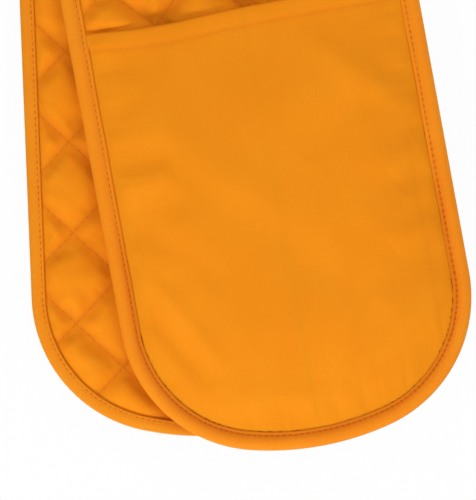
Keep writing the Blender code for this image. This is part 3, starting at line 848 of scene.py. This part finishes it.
# Its closed section: inset, height, share of a stitch's bulge and share of the pocket's lift.
TAPE_SECTION = np.array(
    (
        (TAPE_WIDTH, TAPE_INNER + 0.0001, 0, 0.8),
        (TAPE_WIDTH + 0.0001, TAPE_INNER + 0.0004, 0, 0.8),
        (TAPE_WIDTH - 0.0004, TAPE_OUTER - 0.0001, 0.5, 1),
        (TAPE_WIDTH - 0.0012, TAPE_OUTER - 0.0001, 0.4, 1),
        (TAPE_STITCH_INSET, TAPE_OUTER - 0.0005, 1, 1),
        (TAPE_STITCH_INSET - 0.0009, TAPE_OUTER - 0.0001, 0.8, 1),
        (0.0048, TAPE_OUTER + 0.0007, 0.35, 0.8),
        (0.0028, TAPE_OUTER + 0.0009, 0, 0.6),
        (0.0013, TAPE_OUTER + 0.0003, 0, 0.4),
        (0.0004, TAPE_INNER - 0.0001, 0, -0.2),
        (0, 0.0004, 0, 0),
        (0, -0.0006, 0, 0),
        (0.0005, -TAPE_INNER + 0.0001, 0, 0),
        (0.0014, -TAPE_OUTER + 0.0003, 0, 0),
        (0.0030, -TAPE_OUTER - 0.0001, 0, 0),
        (TAPE_BACK_STITCH_INSET - 0.0010, -TAPE_OUTER - 0.0001, -0.5, 0),
        (TAPE_BACK_STITCH_INSET, -TAPE_OUTER + 0.0005, -1, 0),
        (TAPE_BACK_STITCH_INSET + 0.0007, -TAPE_OUTER - 0.0001, -0.5, 0),
        (TAPE_BACK_WIDTH - 0.0001, -TAPE_OUTER + 0.0001, 0, 0),
        (TAPE_BACK_WIDTH, -TAPE_INNER, 0, 0),
        (TAPE, -TAPE_INNER, 0, 0),
        (TAPE, TAPE_INNER, 0, 0),
    )
)

# Its points that wander with the tape's edge, and those of its crown.
FACE_EDGE_POINTS = slice(0, 5)
FACE_CROWN_POINTS = slice(2, 5)


def end_length(direction):
    """The length of the front leg, in direction 1, or of the rear one, in direction -1."""
    return FRONT_LENGTH if direction > 0 else REAR_LENGTH


def straight_edge(side, past, inset):
    """Points at an inset from a straight side, on lines square to X."""
    across = side * (HALF_WIDTH - inset)
    return across, along_at(across, past)


def end_edge(direction, share, inset):
    """Points at an inset from a rounded end; share runs from 0 on one side to 1 on the other."""
    length = end_length(direction)
    travelled = share * (2 * CORNER_ARC + TIP_ARC)
    side = 1
    if travelled > CORNER_ARC + TIP_ARC:
        side = -1
        travelled = 2 * CORNER_ARC + TIP_ARC - travelled
    if travelled < CORNER_ARC:
        angle = math.pi / 2 - travelled / CORNER_RADIUS
        radius = CORNER_RADIUS - inset
        across = side * (CORNER_ACROSS + radius * math.sin(angle))
        along = length - TIP_RADIUS + CORNER_PAST_TIP_CENTRE + radius * math.cos(angle)
    else:
        angle = TIP_ANGLE - (travelled - CORNER_ARC) / TIP_RADIUS
        radius = TIP_RADIUS - inset
        across = side * radius * math.sin(angle)
        along = length - TIP_RADIUS + radius * math.cos(angle)
    return direction * across, direction * along


def run_between(side, start, end):
    """Edges along a straight side from one distance past the crease to another, either way."""
    low, high = min(start, end), max(start, end)
    steps = max(1, round((high - low) / math.cos(LEG_SPREAD) / TAPE_STEP))
    edges = [partial(straight_edge, side, low + (high - low) * step / steps) for step in range(steps + 1)]
    return edges if start <= end else edges[::-1]


def end_run(direction, line):
    """Edges from a split line down one side, round the end and back up the other side."""
    straight = direction * (end_length(direction) - TIP_RADIUS + CORNER_PAST_TIP_CENTRE)
    first_stop, last_stop = (flat(side * HALF_WIDTH, straight)[1] for side in (direction, -direction))
    steps = round((2 * CORNER_ARC + TIP_ARC) / TAPE_STEP)
    edges = run_between(direction, line, first_stop)[:-1]
    edges += [partial(end_edge, direction, step / steps) for step in range(steps + 1)]
    edges += run_between(-direction, last_stop, line)[1:]
    return edges


def pocket_lift(along):
    """How far the pocket's layers lift the tape that covers their edge."""
    into_pocket = abs(along) - (float(length_of(along)) - POCKET_DEPTH)
    return TAPE_LIFT * float(smooth_step(into_pocket / LIFT_RUN + 0.5))


def tape_sections(edges):
    """Points, uvs and painted shades of a run of tape; edges are functions of the inset."""
    points, uvs, shades = [], [], []
    for step, edge in enumerate(edges):
        run = step * TAPE_STEP
        bulge = TAPE_PUCKER * (0.5 - 0.5 * math.cos(2 * math.pi * step / TAPE_STEPS_PER_STITCH))
        bulge += TAPE_PUCKER * 0.5 * float(ripple(run, number=3, seed=7, longest=TAPE_PUCKER_LENGTH))
        wander = TAPE_WANDER * float(ripple(run, number=5, seed=11, longest=TAPE_WANDER_LENGTH))
        middle = edge(TAPE_WIDTH / 2)
        past_tip = abs(float(middle[1])) - (float(length_of(middle[1])) - TIP_RADIUS)
        round_share = float(smooth_step(past_tip / ROUND_RUN)) if middle[1] > 0 else 0
        inset, height, bulge_share, lift_share = TAPE_SECTION.T.copy()
        height += bulge_share * bulge + lift_share * pocket_lift(middle[1])
        inset[FACE_EDGE_POINTS] += wander
        height[FACE_CROWN_POINTS] -= TAPE_DROP_AT_TIP * round_share
        ring = np.array([edge(spot) for spot in inset])
        points.append(place(ring[:, 0], ring[:, 1], height))
        around = np.cumsum(np.hypot(np.diff(inset, prepend=inset[0]), np.diff(height, prepend=height[0])))
        uvs.append(np.stack((np.full(len(ring), run), around), axis=1))
        # Painted shade: darker in the stitch line's furrow, and along the inner edge where the tape rounds
        # the front end.
        furrow = np.exp(-np.abs(inset - TAPE_STITCH_INSET) / TAPE_FURROW_WIDTH)
        valley = bump(inset - TAPE_WIDTH, TAPE_VALLEY_WIDTH) * (height > 0)
        shades.append(TAPE_FURROW_PAINTED_SHADE_SHARE * furrow + round_share * valley)
    return np.array(points), np.array(uvs), np.array(shades)


def tape_stitches(name, edges, section, material):
    """The stitches that hold one length of tape, on both faces."""
    starts, ends, ups = [], [], []
    for edge, following in list(zip(edges, edges[1:]))[::TAPE_STEPS_PER_STITCH]:
        for inset, sign in ((TAPE_STITCH_INSET, 1), (TAPE_BACK_STITCH_INSET, -1)):
            spot = np.array(edge(inset))
            run = np.array(following(inset)) - spot
            half = run / np.linalg.norm(run) * TAPE_STITCH_LENGTH / 2
            lift = pocket_lift(edge(TAPE_WIDTH / 2)[1]) if sign > 0 else 0
            height = sign * (TAPE_OUTER + lift - TAPE_STITCH_DEPTH)
            starts.append(place(*spot, height))
            ends.append(place(*(spot + 2 * half), height))
            ups.append(surface_up(*(spot + half), height, sign))
    threads = stitches(f"{name}_thread", *map(np.array, (starts, ends, ups)), TAPE_THREAD, material)
    bend_piece(threads, section)


def tape_piece(name, edges, section, nodes, material, thread):
    """One length of tape with its stitches."""
    rings, uvs, shades = tape_sections(edges)
    index = np.arange(rings[..., 0].size).reshape(rings.shape[:2])
    after = np.roll(index, -1, axis=1)
    quads = np.stack((index[:-1], after[:-1], after[1:], index[1:]), axis=-1).reshape(-1, 4)
    points = rings.reshape(-1, 3)
    outward = points[quads[:, 0]] - points.mean(axis=0)
    if (outward * unit(face_turns(points, quads))).sum() < 0:
        quads = quads[:, ::-1]
    normals = vertex_normals(points, [quads])
    piece = make_mesh(name, points, [quads], material, uvs.reshape(-1, 2), normals, shade=shades.ravel())
    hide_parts(*nodes)
    bend_piece(piece, section)
    tape_stitches(name, edges, section, thread)


def make_binding(material, thread):
    """The tape all round the strip: two ends and five lengths on each side."""
    front_nodes = ["front_hand_binding", "front_strap_left_binding", "front_strap_right_binding"]
    rear_run = end_run(-1, SPLIT_LINES[0])
    front_run = end_run(1, SPLIT_LINES[-1])
    tape_piece("rear_end_binding_tape", rear_run, 0, ["rear_hand_binding"], material, thread)
    tape_piece("front_end_binding_tape", front_run, LAST_SECTION, front_nodes, material, thread)
    for section in range(1, LAST_SECTION):
        section_name, bodies = SECTIONS[section]
        for side, word in ((-1, "left"), (1, "right")):
            nodes = [f"{body}_{word}_binding" for body in bodies]
            edges = run_between(side, SPLIT_LINES[section - 1], SPLIT_LINES[section])
            tape_piece(f"{section_name}_{word}_binding_tape", edges, section, nodes, material, thread)


# The pockets.

# Soft creases of both pockets: where each starts and ends across and along its pocket, as shares
# of the half width and of the depth from the mouth, then its height and width.
CREASES = (
    ((-0.88, 0.36), (-0.55, 0.33), 0.0016, 0.0070),
    ((-0.88, 0.41), (-0.35, 0.60), -0.0015, 0.0080),
    ((-0.84, 0.52), (-0.46, 0.79), 0.0018, 0.0060),
    ((-0.86, 0.60), (-0.55, 0.82), -0.0018, 0.0055),
    ((-0.62, 0.20), (0.05, 0.50), 0.0015, 0.0110),
    ((-0.25, 0.42), (0.42, 0.72), -0.0013, 0.0110),
    ((0.93, 0.35), (0.66, 0.43), 0.0016, 0.0060),
    ((0.94, 0.40), (0.70, 0.47), -0.0014, 0.0060),
    ((0.93, 0.54), (0.60, 0.59), 0.0017, 0.0060),
    ((0.88, 0.68), (0.24, 0.87), 0.0017, 0.0090),
    ((0.32, 0.66), (0.14, 0.91), 0.0015, 0.0065),
    ((-0.42, 0.84), (0.28, 0.93), 0.0014, 0.0080),
    ((-0.16, 0.72), (-0.34, 0.86), -0.0010, 0.0070),
    ((0.35, 0.10), (0.85, 0.30), 0.0012, 0.0080),
    ((0.55, 0.24), (0.20, 0.36), -0.0011, 0.0080),
)
CREASE_START_SHARE = 0.06
CREASE_POWER_SHARE = 0.6


def crease_height(across, inward):
    """Long soft ridges and hollows of a pocket that has been used."""
    total = 0
    for start, end, height, width in CREASES:
        start, end = (np.array(spot) * (HALF_WIDTH, POCKET_DEPTH) for spot in (start, end))
        run = end - start
        share = ((across - start[0]) * run[0] + (inward - start[1]) * run[1]) / (run @ run)
        held = np.clip(share, 0, 1)
        gap = np.hypot(across - start[0] - run[0] * held, inward - start[1] - run[1] * held)
        fade = np.sin(np.pi * (CREASE_START_SHARE + (1 - CREASE_START_SHARE) * held))
        total = total + height * bump(gap, width) * np.clip(fade, 0, 1) ** CREASE_POWER_SHARE
    return total


def pocket_along(direction, across, inward):
    """Distance along the strip of places that lie inward from a pocket's mouth edge."""
    mouth = sum(height * bump(direction * across - spot, width) for height, spot, width in MOUTH_WAVES)
    return direction * (end_length(direction) - POCKET_DEPTH + mouth + inward)


def panel_form(across, along, inward):
    """The crowned form of a pocket's outer face, lower at its mouth than in its middle."""
    inside = edge_distance(across, along) - SEAM_INSET
    at_tip = smooth_step((inward - TIP_RISE_START) / TIP_RISE_RUN)
    swell = dome(inside / (POCKET_RISE + (TIP_RISE - POCKET_RISE) * at_tip)) ** PANEL_POWER_SHARE
    height = PANEL_EDGE_TOP + (PANEL_TOP - PANEL_EDGE_TOP) * swell
    held = dome(inside / HOLD_RUN)
    height = height - MOUTH_DROP * (1 - smooth_step(inward / MOUTH_DROP_RUN)) * held
    height = height + PANEL_CLOUD_HEIGHT * soft_noise(across, inward, PANEL_CLOUD, seed=3) * held
    return height + crease_height(across, inward) * dome(inside / CREASE_RUN)


def panel_top(across, along, inward, direction, swelling):
    """Height of a pocket's outer face; the rear one, which the glove lies on, is flat at its top."""
    inside = edge_distance(across, along) - SEAM_INSET
    height = panel_form(across, along, inward) + swelling(across, inward) * dome(inside / SWELL_RUN)
    on_side = np.abs(along) < length_of(along) - TIP_RADIUS
    seam_run = np.where(on_side, along, across * TIP_SEAM_STRETCH_SHARE)
    pucker = ripple(seam_run, np.sign(across), seed=21, longest=SEAM_PUCKER_LENGTH)
    pucker = pucker * np.exp(-np.abs(inside) / SEAM_PUCKER_REACH)
    height = height + SEAM_PUCKER * pucker * dome(inside / SEAM_PUCKER_RUN)
    past_hem = inward - HEM_WIDTH
    stitch_ripple = 0.5 + 0.5 * np.cos(2 * np.pi * across / HEM_STITCH_PITCH)
    depth = HEM_DIP * (HEM_DIP_STEADY_SHARE + HEM_DIP_STITCH_SHARE * stitch_ripple)
    hem_swell = dome(inward / HEM_SWELL_RISE) * (1 - smooth_step(past_hem / HEM_SWELL_FALL))
    height = height - depth * bump(past_hem, HEM_DIP_WIDTH) + HEM_SWELL * hem_swell
    hem_ripple = ripple(across, number=1, seed=31, longest=HEM_RIPPLE_LENGTH)
    height = height + HEM_RIPPLE * (hem_ripple * np.exp(-np.abs(past_hem) / HEM_RIPPLE_REACH))
    return np.minimum(height, PANEL_TOP) if direction < 0 else height


def panel_rows():
    """Distances from the mouth edge of a panel's rows, closer together round the hem's fold."""
    turns = [math.pi / 2 * i / NOSE_ROWS for i in range(NOSE_ROWS + 1)]
    nose = [HEM_THICK / 2 * (1 - math.cos(turn)) for turn in turns]
    count = int((POCKET_DEPTH - nose[-1]) / PANEL_CELL)
    return np.array(nose + [nose[-1] + PANEL_CELL * (i + 1) for i in range(count)])


def panel_grid(direction, side):
    """Grid points of one half of a pocket panel in strip coordinates, and its quads."""
    columns = int((HALF_WIDTH - SEAM_INSET) / PANEL_CELL) + 2
    inward, across = np.meshgrid(panel_rows(), np.arange(columns + 1) * PANEL_CELL * side, indexing="ij")
    quads = grid_quads(*across.shape)
    inward, across = inward.ravel(), across.ravel()
    along = pocket_along(direction, across, inward)
    if side * direction < 0:
        quads = quads[:, ::-1]
    inside = edge_distance(across, along) > SEAM_INSET - PANEL_LIP
    return across, along, inward, quads[inside[quads].all(axis=1)]


def nose_drop(inward):
    """How far the hem's rounded fold falls from the face, near the mouth edge."""
    radius = HEM_THICK / 2
    share = np.clip(1 - inward / radius, 0, 1)
    return radius * (1 - np.sqrt(1 - share**2)) * HEM_ROUND_SHARE


def panel_thickness(across, along, inward):
    """Thickness of the outer cloth with its wadding: thin at the seam, doubled at the hem."""
    inside = edge_distance(across, along) - SEAM_INSET
    body = PANEL_THICK_AT_SEAM + (PANEL_THICK - PANEL_THICK_AT_SEAM) * dome(inside / PANEL_THICK_RUN)
    hem = 1 - smooth_step((inward - HEM_WIDTH) / HEM_TAPER)
    return body + (HEM_THICK - PANEL_THICK) * hem * dome(inside / HEM_TAPER_AT_SEAM)


def pocket_slab(name, grid, quads, upper, lower, material, shade):
    """A closed slab between two heights over a panel grid."""
    across, along = grid
    points = np.concatenate((place(across, along, upper), place(across, along, lower)))
    top_of = np.arange(len(across))
    top, bottom, walls = closed_slab(quads, top_of, top_of + len(across))
    normals = vertex_normals(points, [top, bottom])
    uvs = np.tile(np.stack((across, along), axis=1), (2, 1))
    return make_mesh(name, points, [top, bottom], material, uvs, normals, [walls], np.tile(shade, 2))


def open_with_pocket(piece, direction, side):
    """Bakes half a pocket into world space; where its side would stay sewn down and its middle lift is
    worked out but not applied.
    """
    along = direction * (end_length(direction) - POCKET_DEPTH / 2)
    start = Vector(place(side * MOUTH_OPEN_REACH, along, 0.0))
    finish = Vector(place(0.0, along, 0.0))
    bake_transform(piece)


def make_pocket(end, direction, cotton, lining, thread):
    """One pocket as two halves, each a padded outer panel, a lining and its hem stitches."""
    swelling = make_swollen_panel(direction)
    for side, word in ((-1, "left"), (1, "right")):
        name = f"{end}_pocket_{word}"
        across, along, inward, quads = panel_grid(direction, side)
        grid = (across, along)
        face = panel_top(across, along, inward, direction, swelling)
        thick = panel_thickness(across, along, inward)
        drop = nose_drop(inward)
        # Painted shade along the hem's stitch line and at the mouth's folded edge.
        shade = HEM_PAINTED_SHADE_SHARE * np.exp(-np.abs(inward - HEM_WIDTH) / HEM_PAINTED_SHADE_REACH)
        shade = shade + MOUTH_EDGE_PAINTED_SHADE_SHARE * np.exp(-inward / MOUTH_EDGE_PAINTED_SHADE_REACH)
        outer = pocket_slab(f"{name}_panel", grid, quads, face - drop, face - thick + drop, cotton, shade)
        if side < 0:
            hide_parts(f"{end}_pocket_outer_fabric", f"{end}_pocket_wadding")
        else:
            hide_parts(f"{end}_pocket_hem")
        open_with_pocket(outer, direction, side)
        behind = quads[(inward > HEM_WIDTH - HEM_TAPER)[quads].all(axis=1)]
        base = face - thick - LINING_GAP
        inner = pocket_slab(f"{name}_lining", grid, behind, base, base - LINING_THICK, lining, shade * 0)
        if side < 0:
            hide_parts(f"{end}_pocket_lining")
        open_with_pocket(inner, direction, side)
        threads = hem_stitches(f"{name}_hem_thread", direction, side, swelling, thread)
        open_with_pocket(threads, direction, side)


def hem_stitches(name, direction, side, swelling, material):
    """The row of stitches that holds the hem, on the pocket's outer face."""
    count = int((HALF_WIDTH - SEAM_INSET) / HEM_STITCH_PITCH)
    middle = side * (np.arange(count) + 0.5) * HEM_STITCH_PITCH
    inward = np.full(count, HEM_WIDTH)
    ends = []
    for half in (-0.5, 0.5):
        across = middle + half * HEM_STITCH_LENGTH
        along = pocket_along(direction, across, inward)
        ends.append(place(across, along, panel_top(across, along, inward, direction, swelling)))
    up = surface_up(middle, np.full(count, direction * end_length(direction) / 2), np.zeros(count), 1)
    return stitches(name, *ends, up, HEM_THREAD, material)


# Materials. A noise has a scale and a detail.

THREAD_PITCH = 0.00062
CLOUD_NOISE = (26.0, 3.0)
FINE_NOISE = (900.0, 2.0)
SLUB_NOISE = (210.0, 2.0)
STRAND_NOISE = (2600.0, 1.0)
CLOUD_START_SHARE = 0.38
CLOUD_GAIN_SHARE = 1.5
FINE_START_SHARE = 0.45
FINE_GAIN_SHARE = 0.35
PAINTED_SHADE_GAIN_SHARE = 0.42
WEAVE_HEIGHT_SHARE = 0.5
SLUB_HEIGHT_SHARE = 1.2
BUMP_DISTANCE = 0.00018
SHEEN_ROUGHNESS = 0.45
SPECULAR_LEVEL = 0.15
CLOTH_GLOW_SHARE = 0.25
CLOTH_GLOW_COLOUR_SHARES = (1.0, 0.30, 0.08)
CLOTH_GLOW_REACH = 0.0025
THREAD_ROUGHNESS = 0.55
THREAD_SHEEN = 0.05

ORANGE = (0.880, 0.270, 0.0030, 1.0)
ORANGE_LIGHT = (0.930, 0.308, 0.0060, 1.0)
ORANGE_DEEP = (0.620, 0.110, 0.0005, 1.0)
BINDING = (0.885, 0.262, 0.0060, 1.0)
BINDING_LIGHT = (0.940, 0.310, 0.0110, 1.0)
THREAD = (0.800, 0.200, 0.0020, 1.0)
TAPE_THREAD_COLOUR = (0.800, 0.160, 0.0010, 1.0)
THREAD_DEEP = (0.520, 0.075, 0.0008, 1.0)
CREAM = (0.790, 0.740, 0.610, 1.0)
CREAM_LIGHT = (0.850, 0.810, 0.700, 1.0)
CREAM_DEEP = (0.560, 0.500, 0.380, 1.0)
FLOOR_GREY = (0.86, 0.86, 0.86, 1.0)
WHITE = (1.0, 1.0, 1.0, 1.0)


def node(tree, kind, **values):
    """Adds a shader node and sets its properties and inputs by name."""
    made = tree.nodes.new(kind)
    for key, value in values.items():
        if hasattr(made, key):
            setattr(made, key, value)
        else:
            made.inputs[key.replace("_", " ")].default_value = value
    return made


def math_node(tree, operation, first, second):
    """A Math node fed by sockets or numbers."""
    made = node(tree, "ShaderNodeMath", operation=operation)
    for socket, value in zip(made.inputs, (first, second)):
        if isinstance(value, (int, float)):
            socket.default_value = value
        else:
            tree.links.new(value, socket)
    return made.outputs[0]


def noise_node(tree, vector, scale, detail):
    made = node(tree, "ShaderNodeTexNoise", Scale=scale, Detail=detail)
    tree.links.new(vector, made.inputs["Vector"])
    return made.outputs["Fac"]


def mix_colour(tree, share, first, second):
    """A colour Mix node; share and first may be sockets."""
    made = node(tree, "ShaderNodeMix", data_type="RGBA")
    tree.links.new(share, made.inputs["Factor"])
    if isinstance(first, tuple):
        made.inputs["A"].default_value = first
    else:
        tree.links.new(first, made.inputs["A"])
    made.inputs["B"].default_value = second
    return made.outputs["Result"]


def noise_share(tree, noise, start, gain):
    """How far a noise stands above a start value, times a gain."""
    return math_node(tree, "MULTIPLY", math_node(tree, "SUBTRACT", noise, start), gain)


def new_material(name, **values):
    """A material with its node tree and its shader, whose sockets are set by name."""
    material = bpy.data.materials.new(name)
    material.use_nodes = True
    shader = material.node_tree.nodes["Principled BSDF"]
    for key, value in values.items():
        shader.inputs[key.replace("_", " ")].default_value = value
    return material, material.node_tree, shader


def woven_cloth(name, colour, light, deep, roughness, sheen, weave_depth=0.30):
    """Plain-woven cotton: crossing threads, cloudy dye, painted shade along stitch lines, grooves and the
    hem, and a soft sheen.
    """
    material, tree, shader = new_material(
        name,
        Roughness=roughness,
        Sheen_Weight=sheen,
        Sheen_Roughness=SHEEN_ROUGHNESS,
        Sheen_Tint=light,
        Specular_IOR_Level=SPECULAR_LEVEL,
        Subsurface_Weight=CLOTH_GLOW_SHARE,
        Subsurface_Radius=CLOTH_GLOW_COLOUR_SHARES,
        Subsurface_Scale=CLOTH_GLOW_REACH,
    )
    uv = node(tree, "ShaderNodeUVMap", uv_map="strip").outputs["UV"]
    clouds, fine, slubs = (noise_node(tree, uv, *noise) for noise in (CLOUD_NOISE, FINE_NOISE, SLUB_NOISE))
    # Painted shade: the seam attribute mixes the colour towards the deep tone where shade falls.
    seam = node(tree, "ShaderNodeAttribute", attribute_name="seam").outputs["Fac"]
    tinted = mix_colour(tree, noise_share(tree, clouds, CLOUD_START_SHARE, CLOUD_GAIN_SHARE), colour, light)
    tinted = mix_colour(tree, noise_share(tree, fine, FINE_START_SHARE, FINE_GAIN_SHARE), tinted, deep)
    tinted = mix_colour(tree, math_node(tree, "MULTIPLY", seam, PAINTED_SHADE_GAIN_SHARE), tinted, deep)
    tree.links.new(tinted, shader.inputs["Base Color"])
    split = node(tree, "ShaderNodeSeparateXYZ")
    tree.links.new(uv, split.inputs[0])
    turns = 2 * math.pi / THREAD_PITCH
    warp, weft = (
        math_node(tree, "SINE", math_node(tree, "MULTIPLY", split.outputs[axis], turns), 0) for axis in "XY"
    )
    weave = math_node(tree, "MULTIPLY", math_node(tree, "MULTIPLY", warp, weft), WEAVE_HEIGHT_SHARE)
    height = math_node(tree, "ADD", weave, math_node(tree, "MULTIPLY", slubs, SLUB_HEIGHT_SHARE))
    height = math_node(tree, "ADD", height, fine)
    relief = node(tree, "ShaderNodeBump", Strength=weave_depth, Distance=BUMP_DISTANCE)
    tree.links.new(height, relief.inputs["Height"])
    tree.links.new(relief.outputs["Normal"], shader.inputs["Normal"])
    return material


def thread_material(name, colour, deep):
    """Twisted sewing thread, uneven in colour like its strands."""
    material, tree, shader = new_material(
        name,
        Roughness=THREAD_ROUGHNESS,
        Sheen_Weight=THREAD_SHEEN,
        Sheen_Tint=colour,
        Specular_IOR_Level=SPECULAR_LEVEL,
    )
    spot = node(tree, "ShaderNodeTexCoord").outputs["Object"]
    tinted = mix_colour(tree, noise_node(tree, spot, *STRAND_NOISE), colour, deep)
    tree.links.new(tinted, shader.inputs["Base Color"])
    return material


def make_glove():
    cotton = woven_cloth("orange_cotton", ORANGE, ORANGE_LIGHT, ORANGE_DEEP, roughness=0.82, sheen=0.05)
    tape_colours = (BINDING, BINDING_LIGHT, ORANGE_DEEP)
    tape = woven_cloth("orange_binding_tape", *tape_colours, roughness=0.78, sheen=0.12)
    lining_colours = (CREAM, CREAM_LIGHT, CREAM_DEEP)
    lining = woven_cloth("cream_lining_cotton", *lining_colours, roughness=0.88, sheen=0.1, weave_depth=0.4)
    thread = thread_material("orange_thread", THREAD, THREAD_DEEP)
    tape_thread = thread_material("deep_orange_thread", TAPE_THREAD_COLOUR, THREAD_DEEP)
    make_quilt(cotton)
    quilt_stitches(thread)
    make_binding(tape, tape_thread)
    make_pocket("rear", -1, cotton, lining, thread)
    make_pocket("front", 1, cotton, lining, thread)


# Floor, light and camera.

FLOOR_HALF = 4.0
FLOOR_DROP = 0.0002
FLOOR_ROUGHNESS = 0.9
FLOOR_CLEAR_SHARE = 0.96
WORLD_LIGHT_SHARE = 0.50
LIGHT_TARGET = (0, -0.05, 0.02)

# Soft boxes: name, place, size and power in watts.
SOFT_BOXES = (
    ("key_soft_box", (-0.80, -1.20, 0.90), 0.5, 15.2),
    ("fill_soft_box", (1.0, 0.3, 1.2), 0.9, 8.0),
)
CAMERA_HEIGHT = 1.50
CAMERA_TARGET = (-0.0040, -0.0911)
CAMERA_TILT = math.radians(6.35)
VIEW_HEIGHT = 0.2550
SENSOR = 0.036
MILLIMETRE = 0.001


def seen_directly(tree):
    """1 for rays from the camera or off gloss and glass, which see white, and 0 for light."""
    rays = node(tree, "ShaderNodeLightPath")
    seen = math_node(tree, "MAXIMUM", rays.outputs["Is Camera Ray"], rays.outputs["Is Glossy Ray"])
    return math_node(tree, "MAXIMUM", seen, rays.outputs["Is Transmission Ray"])


def floor_material():
    """A pale floor that keeps a faint shadow and shows whatever hangs below it in a pose."""
    material, tree, shader = new_material("studio_floor", Base_Color=FLOOR_GREY, Roughness=FLOOR_ROUGHNESS)
    clear = node(tree, "ShaderNodeBsdfTransparent")
    from_below = node(tree, "ShaderNodeNewGeometry").outputs["Backfacing"]
    share = math_node(tree, "MULTIPLY", seen_directly(tree), FLOOR_CLEAR_SHARE)
    share = math_node(tree, "MAXIMUM", share, from_below)
    mixed = node(tree, "ShaderNodeMixShader")
    for socket, source in zip(mixed.inputs, (share, shader.outputs[0], clear.outputs[0])):
        tree.links.new(source, socket)
    tree.links.new(mixed.outputs[0], tree.nodes["Material Output"].inputs["Surface"])
    return material


def make_floor():
    corners = ((-1, -1), (1, -1), (1, 1), (-1, 1))
    points = np.array([(x * FLOOR_HALF, y * FLOOR_HALF, -FLOOR_DROP) for x, y in corners])
    floor = make_mesh("floor", points, [np.array([[0, 1, 2, 3]])], floor_material())


def make_light():
    """A white world and square soft boxes that face the glove."""
    world = bpy.data.worlds.new("studio")
    world.use_nodes = True
    tree = world.node_tree
    tree.nodes["Background"].inputs["Color"].default_value = WHITE
    more = math_node(tree, "MULTIPLY", seen_directly(tree), 1 - WORLD_LIGHT_SHARE)
    strength = math_node(tree, "ADD", more, WORLD_LIGHT_SHARE)
    tree.links.new(strength, tree.nodes["Background"].inputs["Strength"])
    bpy.context.scene.world = world
    for name, spot, size, power in SOFT_BOXES:
        data = bpy.data.lights.new(name, "AREA")
        data.size = size
        data.energy = power
        lamp = bpy.data.objects.new(name, data)
        lamp.location = spot
        lamp.rotation_euler = (Vector(LIGHT_TARGET) - Vector(spot)).to_track_quat("-Z", "Y").to_euler()
        bpy.context.scene.collection.objects.link(lamp)


def make_camera():
    """A camera that looks straight down and is turned a little."""
    data = bpy.data.cameras.new("camera")
    data.sensor_width = SENSOR / MILLIMETRE
    data.lens = SENSOR * (CAMERA_HEIGHT - FRONT_LEVEL) / VIEW_HEIGHT / MILLIMETRE
    camera = bpy.data.objects.new("camera", data)
    camera.location = (*CAMERA_TARGET, CAMERA_HEIGHT)
    camera.rotation_euler = (0, 0, -CAMERA_TILT)
    bpy.context.scene.collection.objects.link(camera)
    bpy.context.scene.camera = camera
    bpy.context.scene.view_settings.view_transform = "Standard"


make_camera()
make_glove()
make_floor()
make_light()
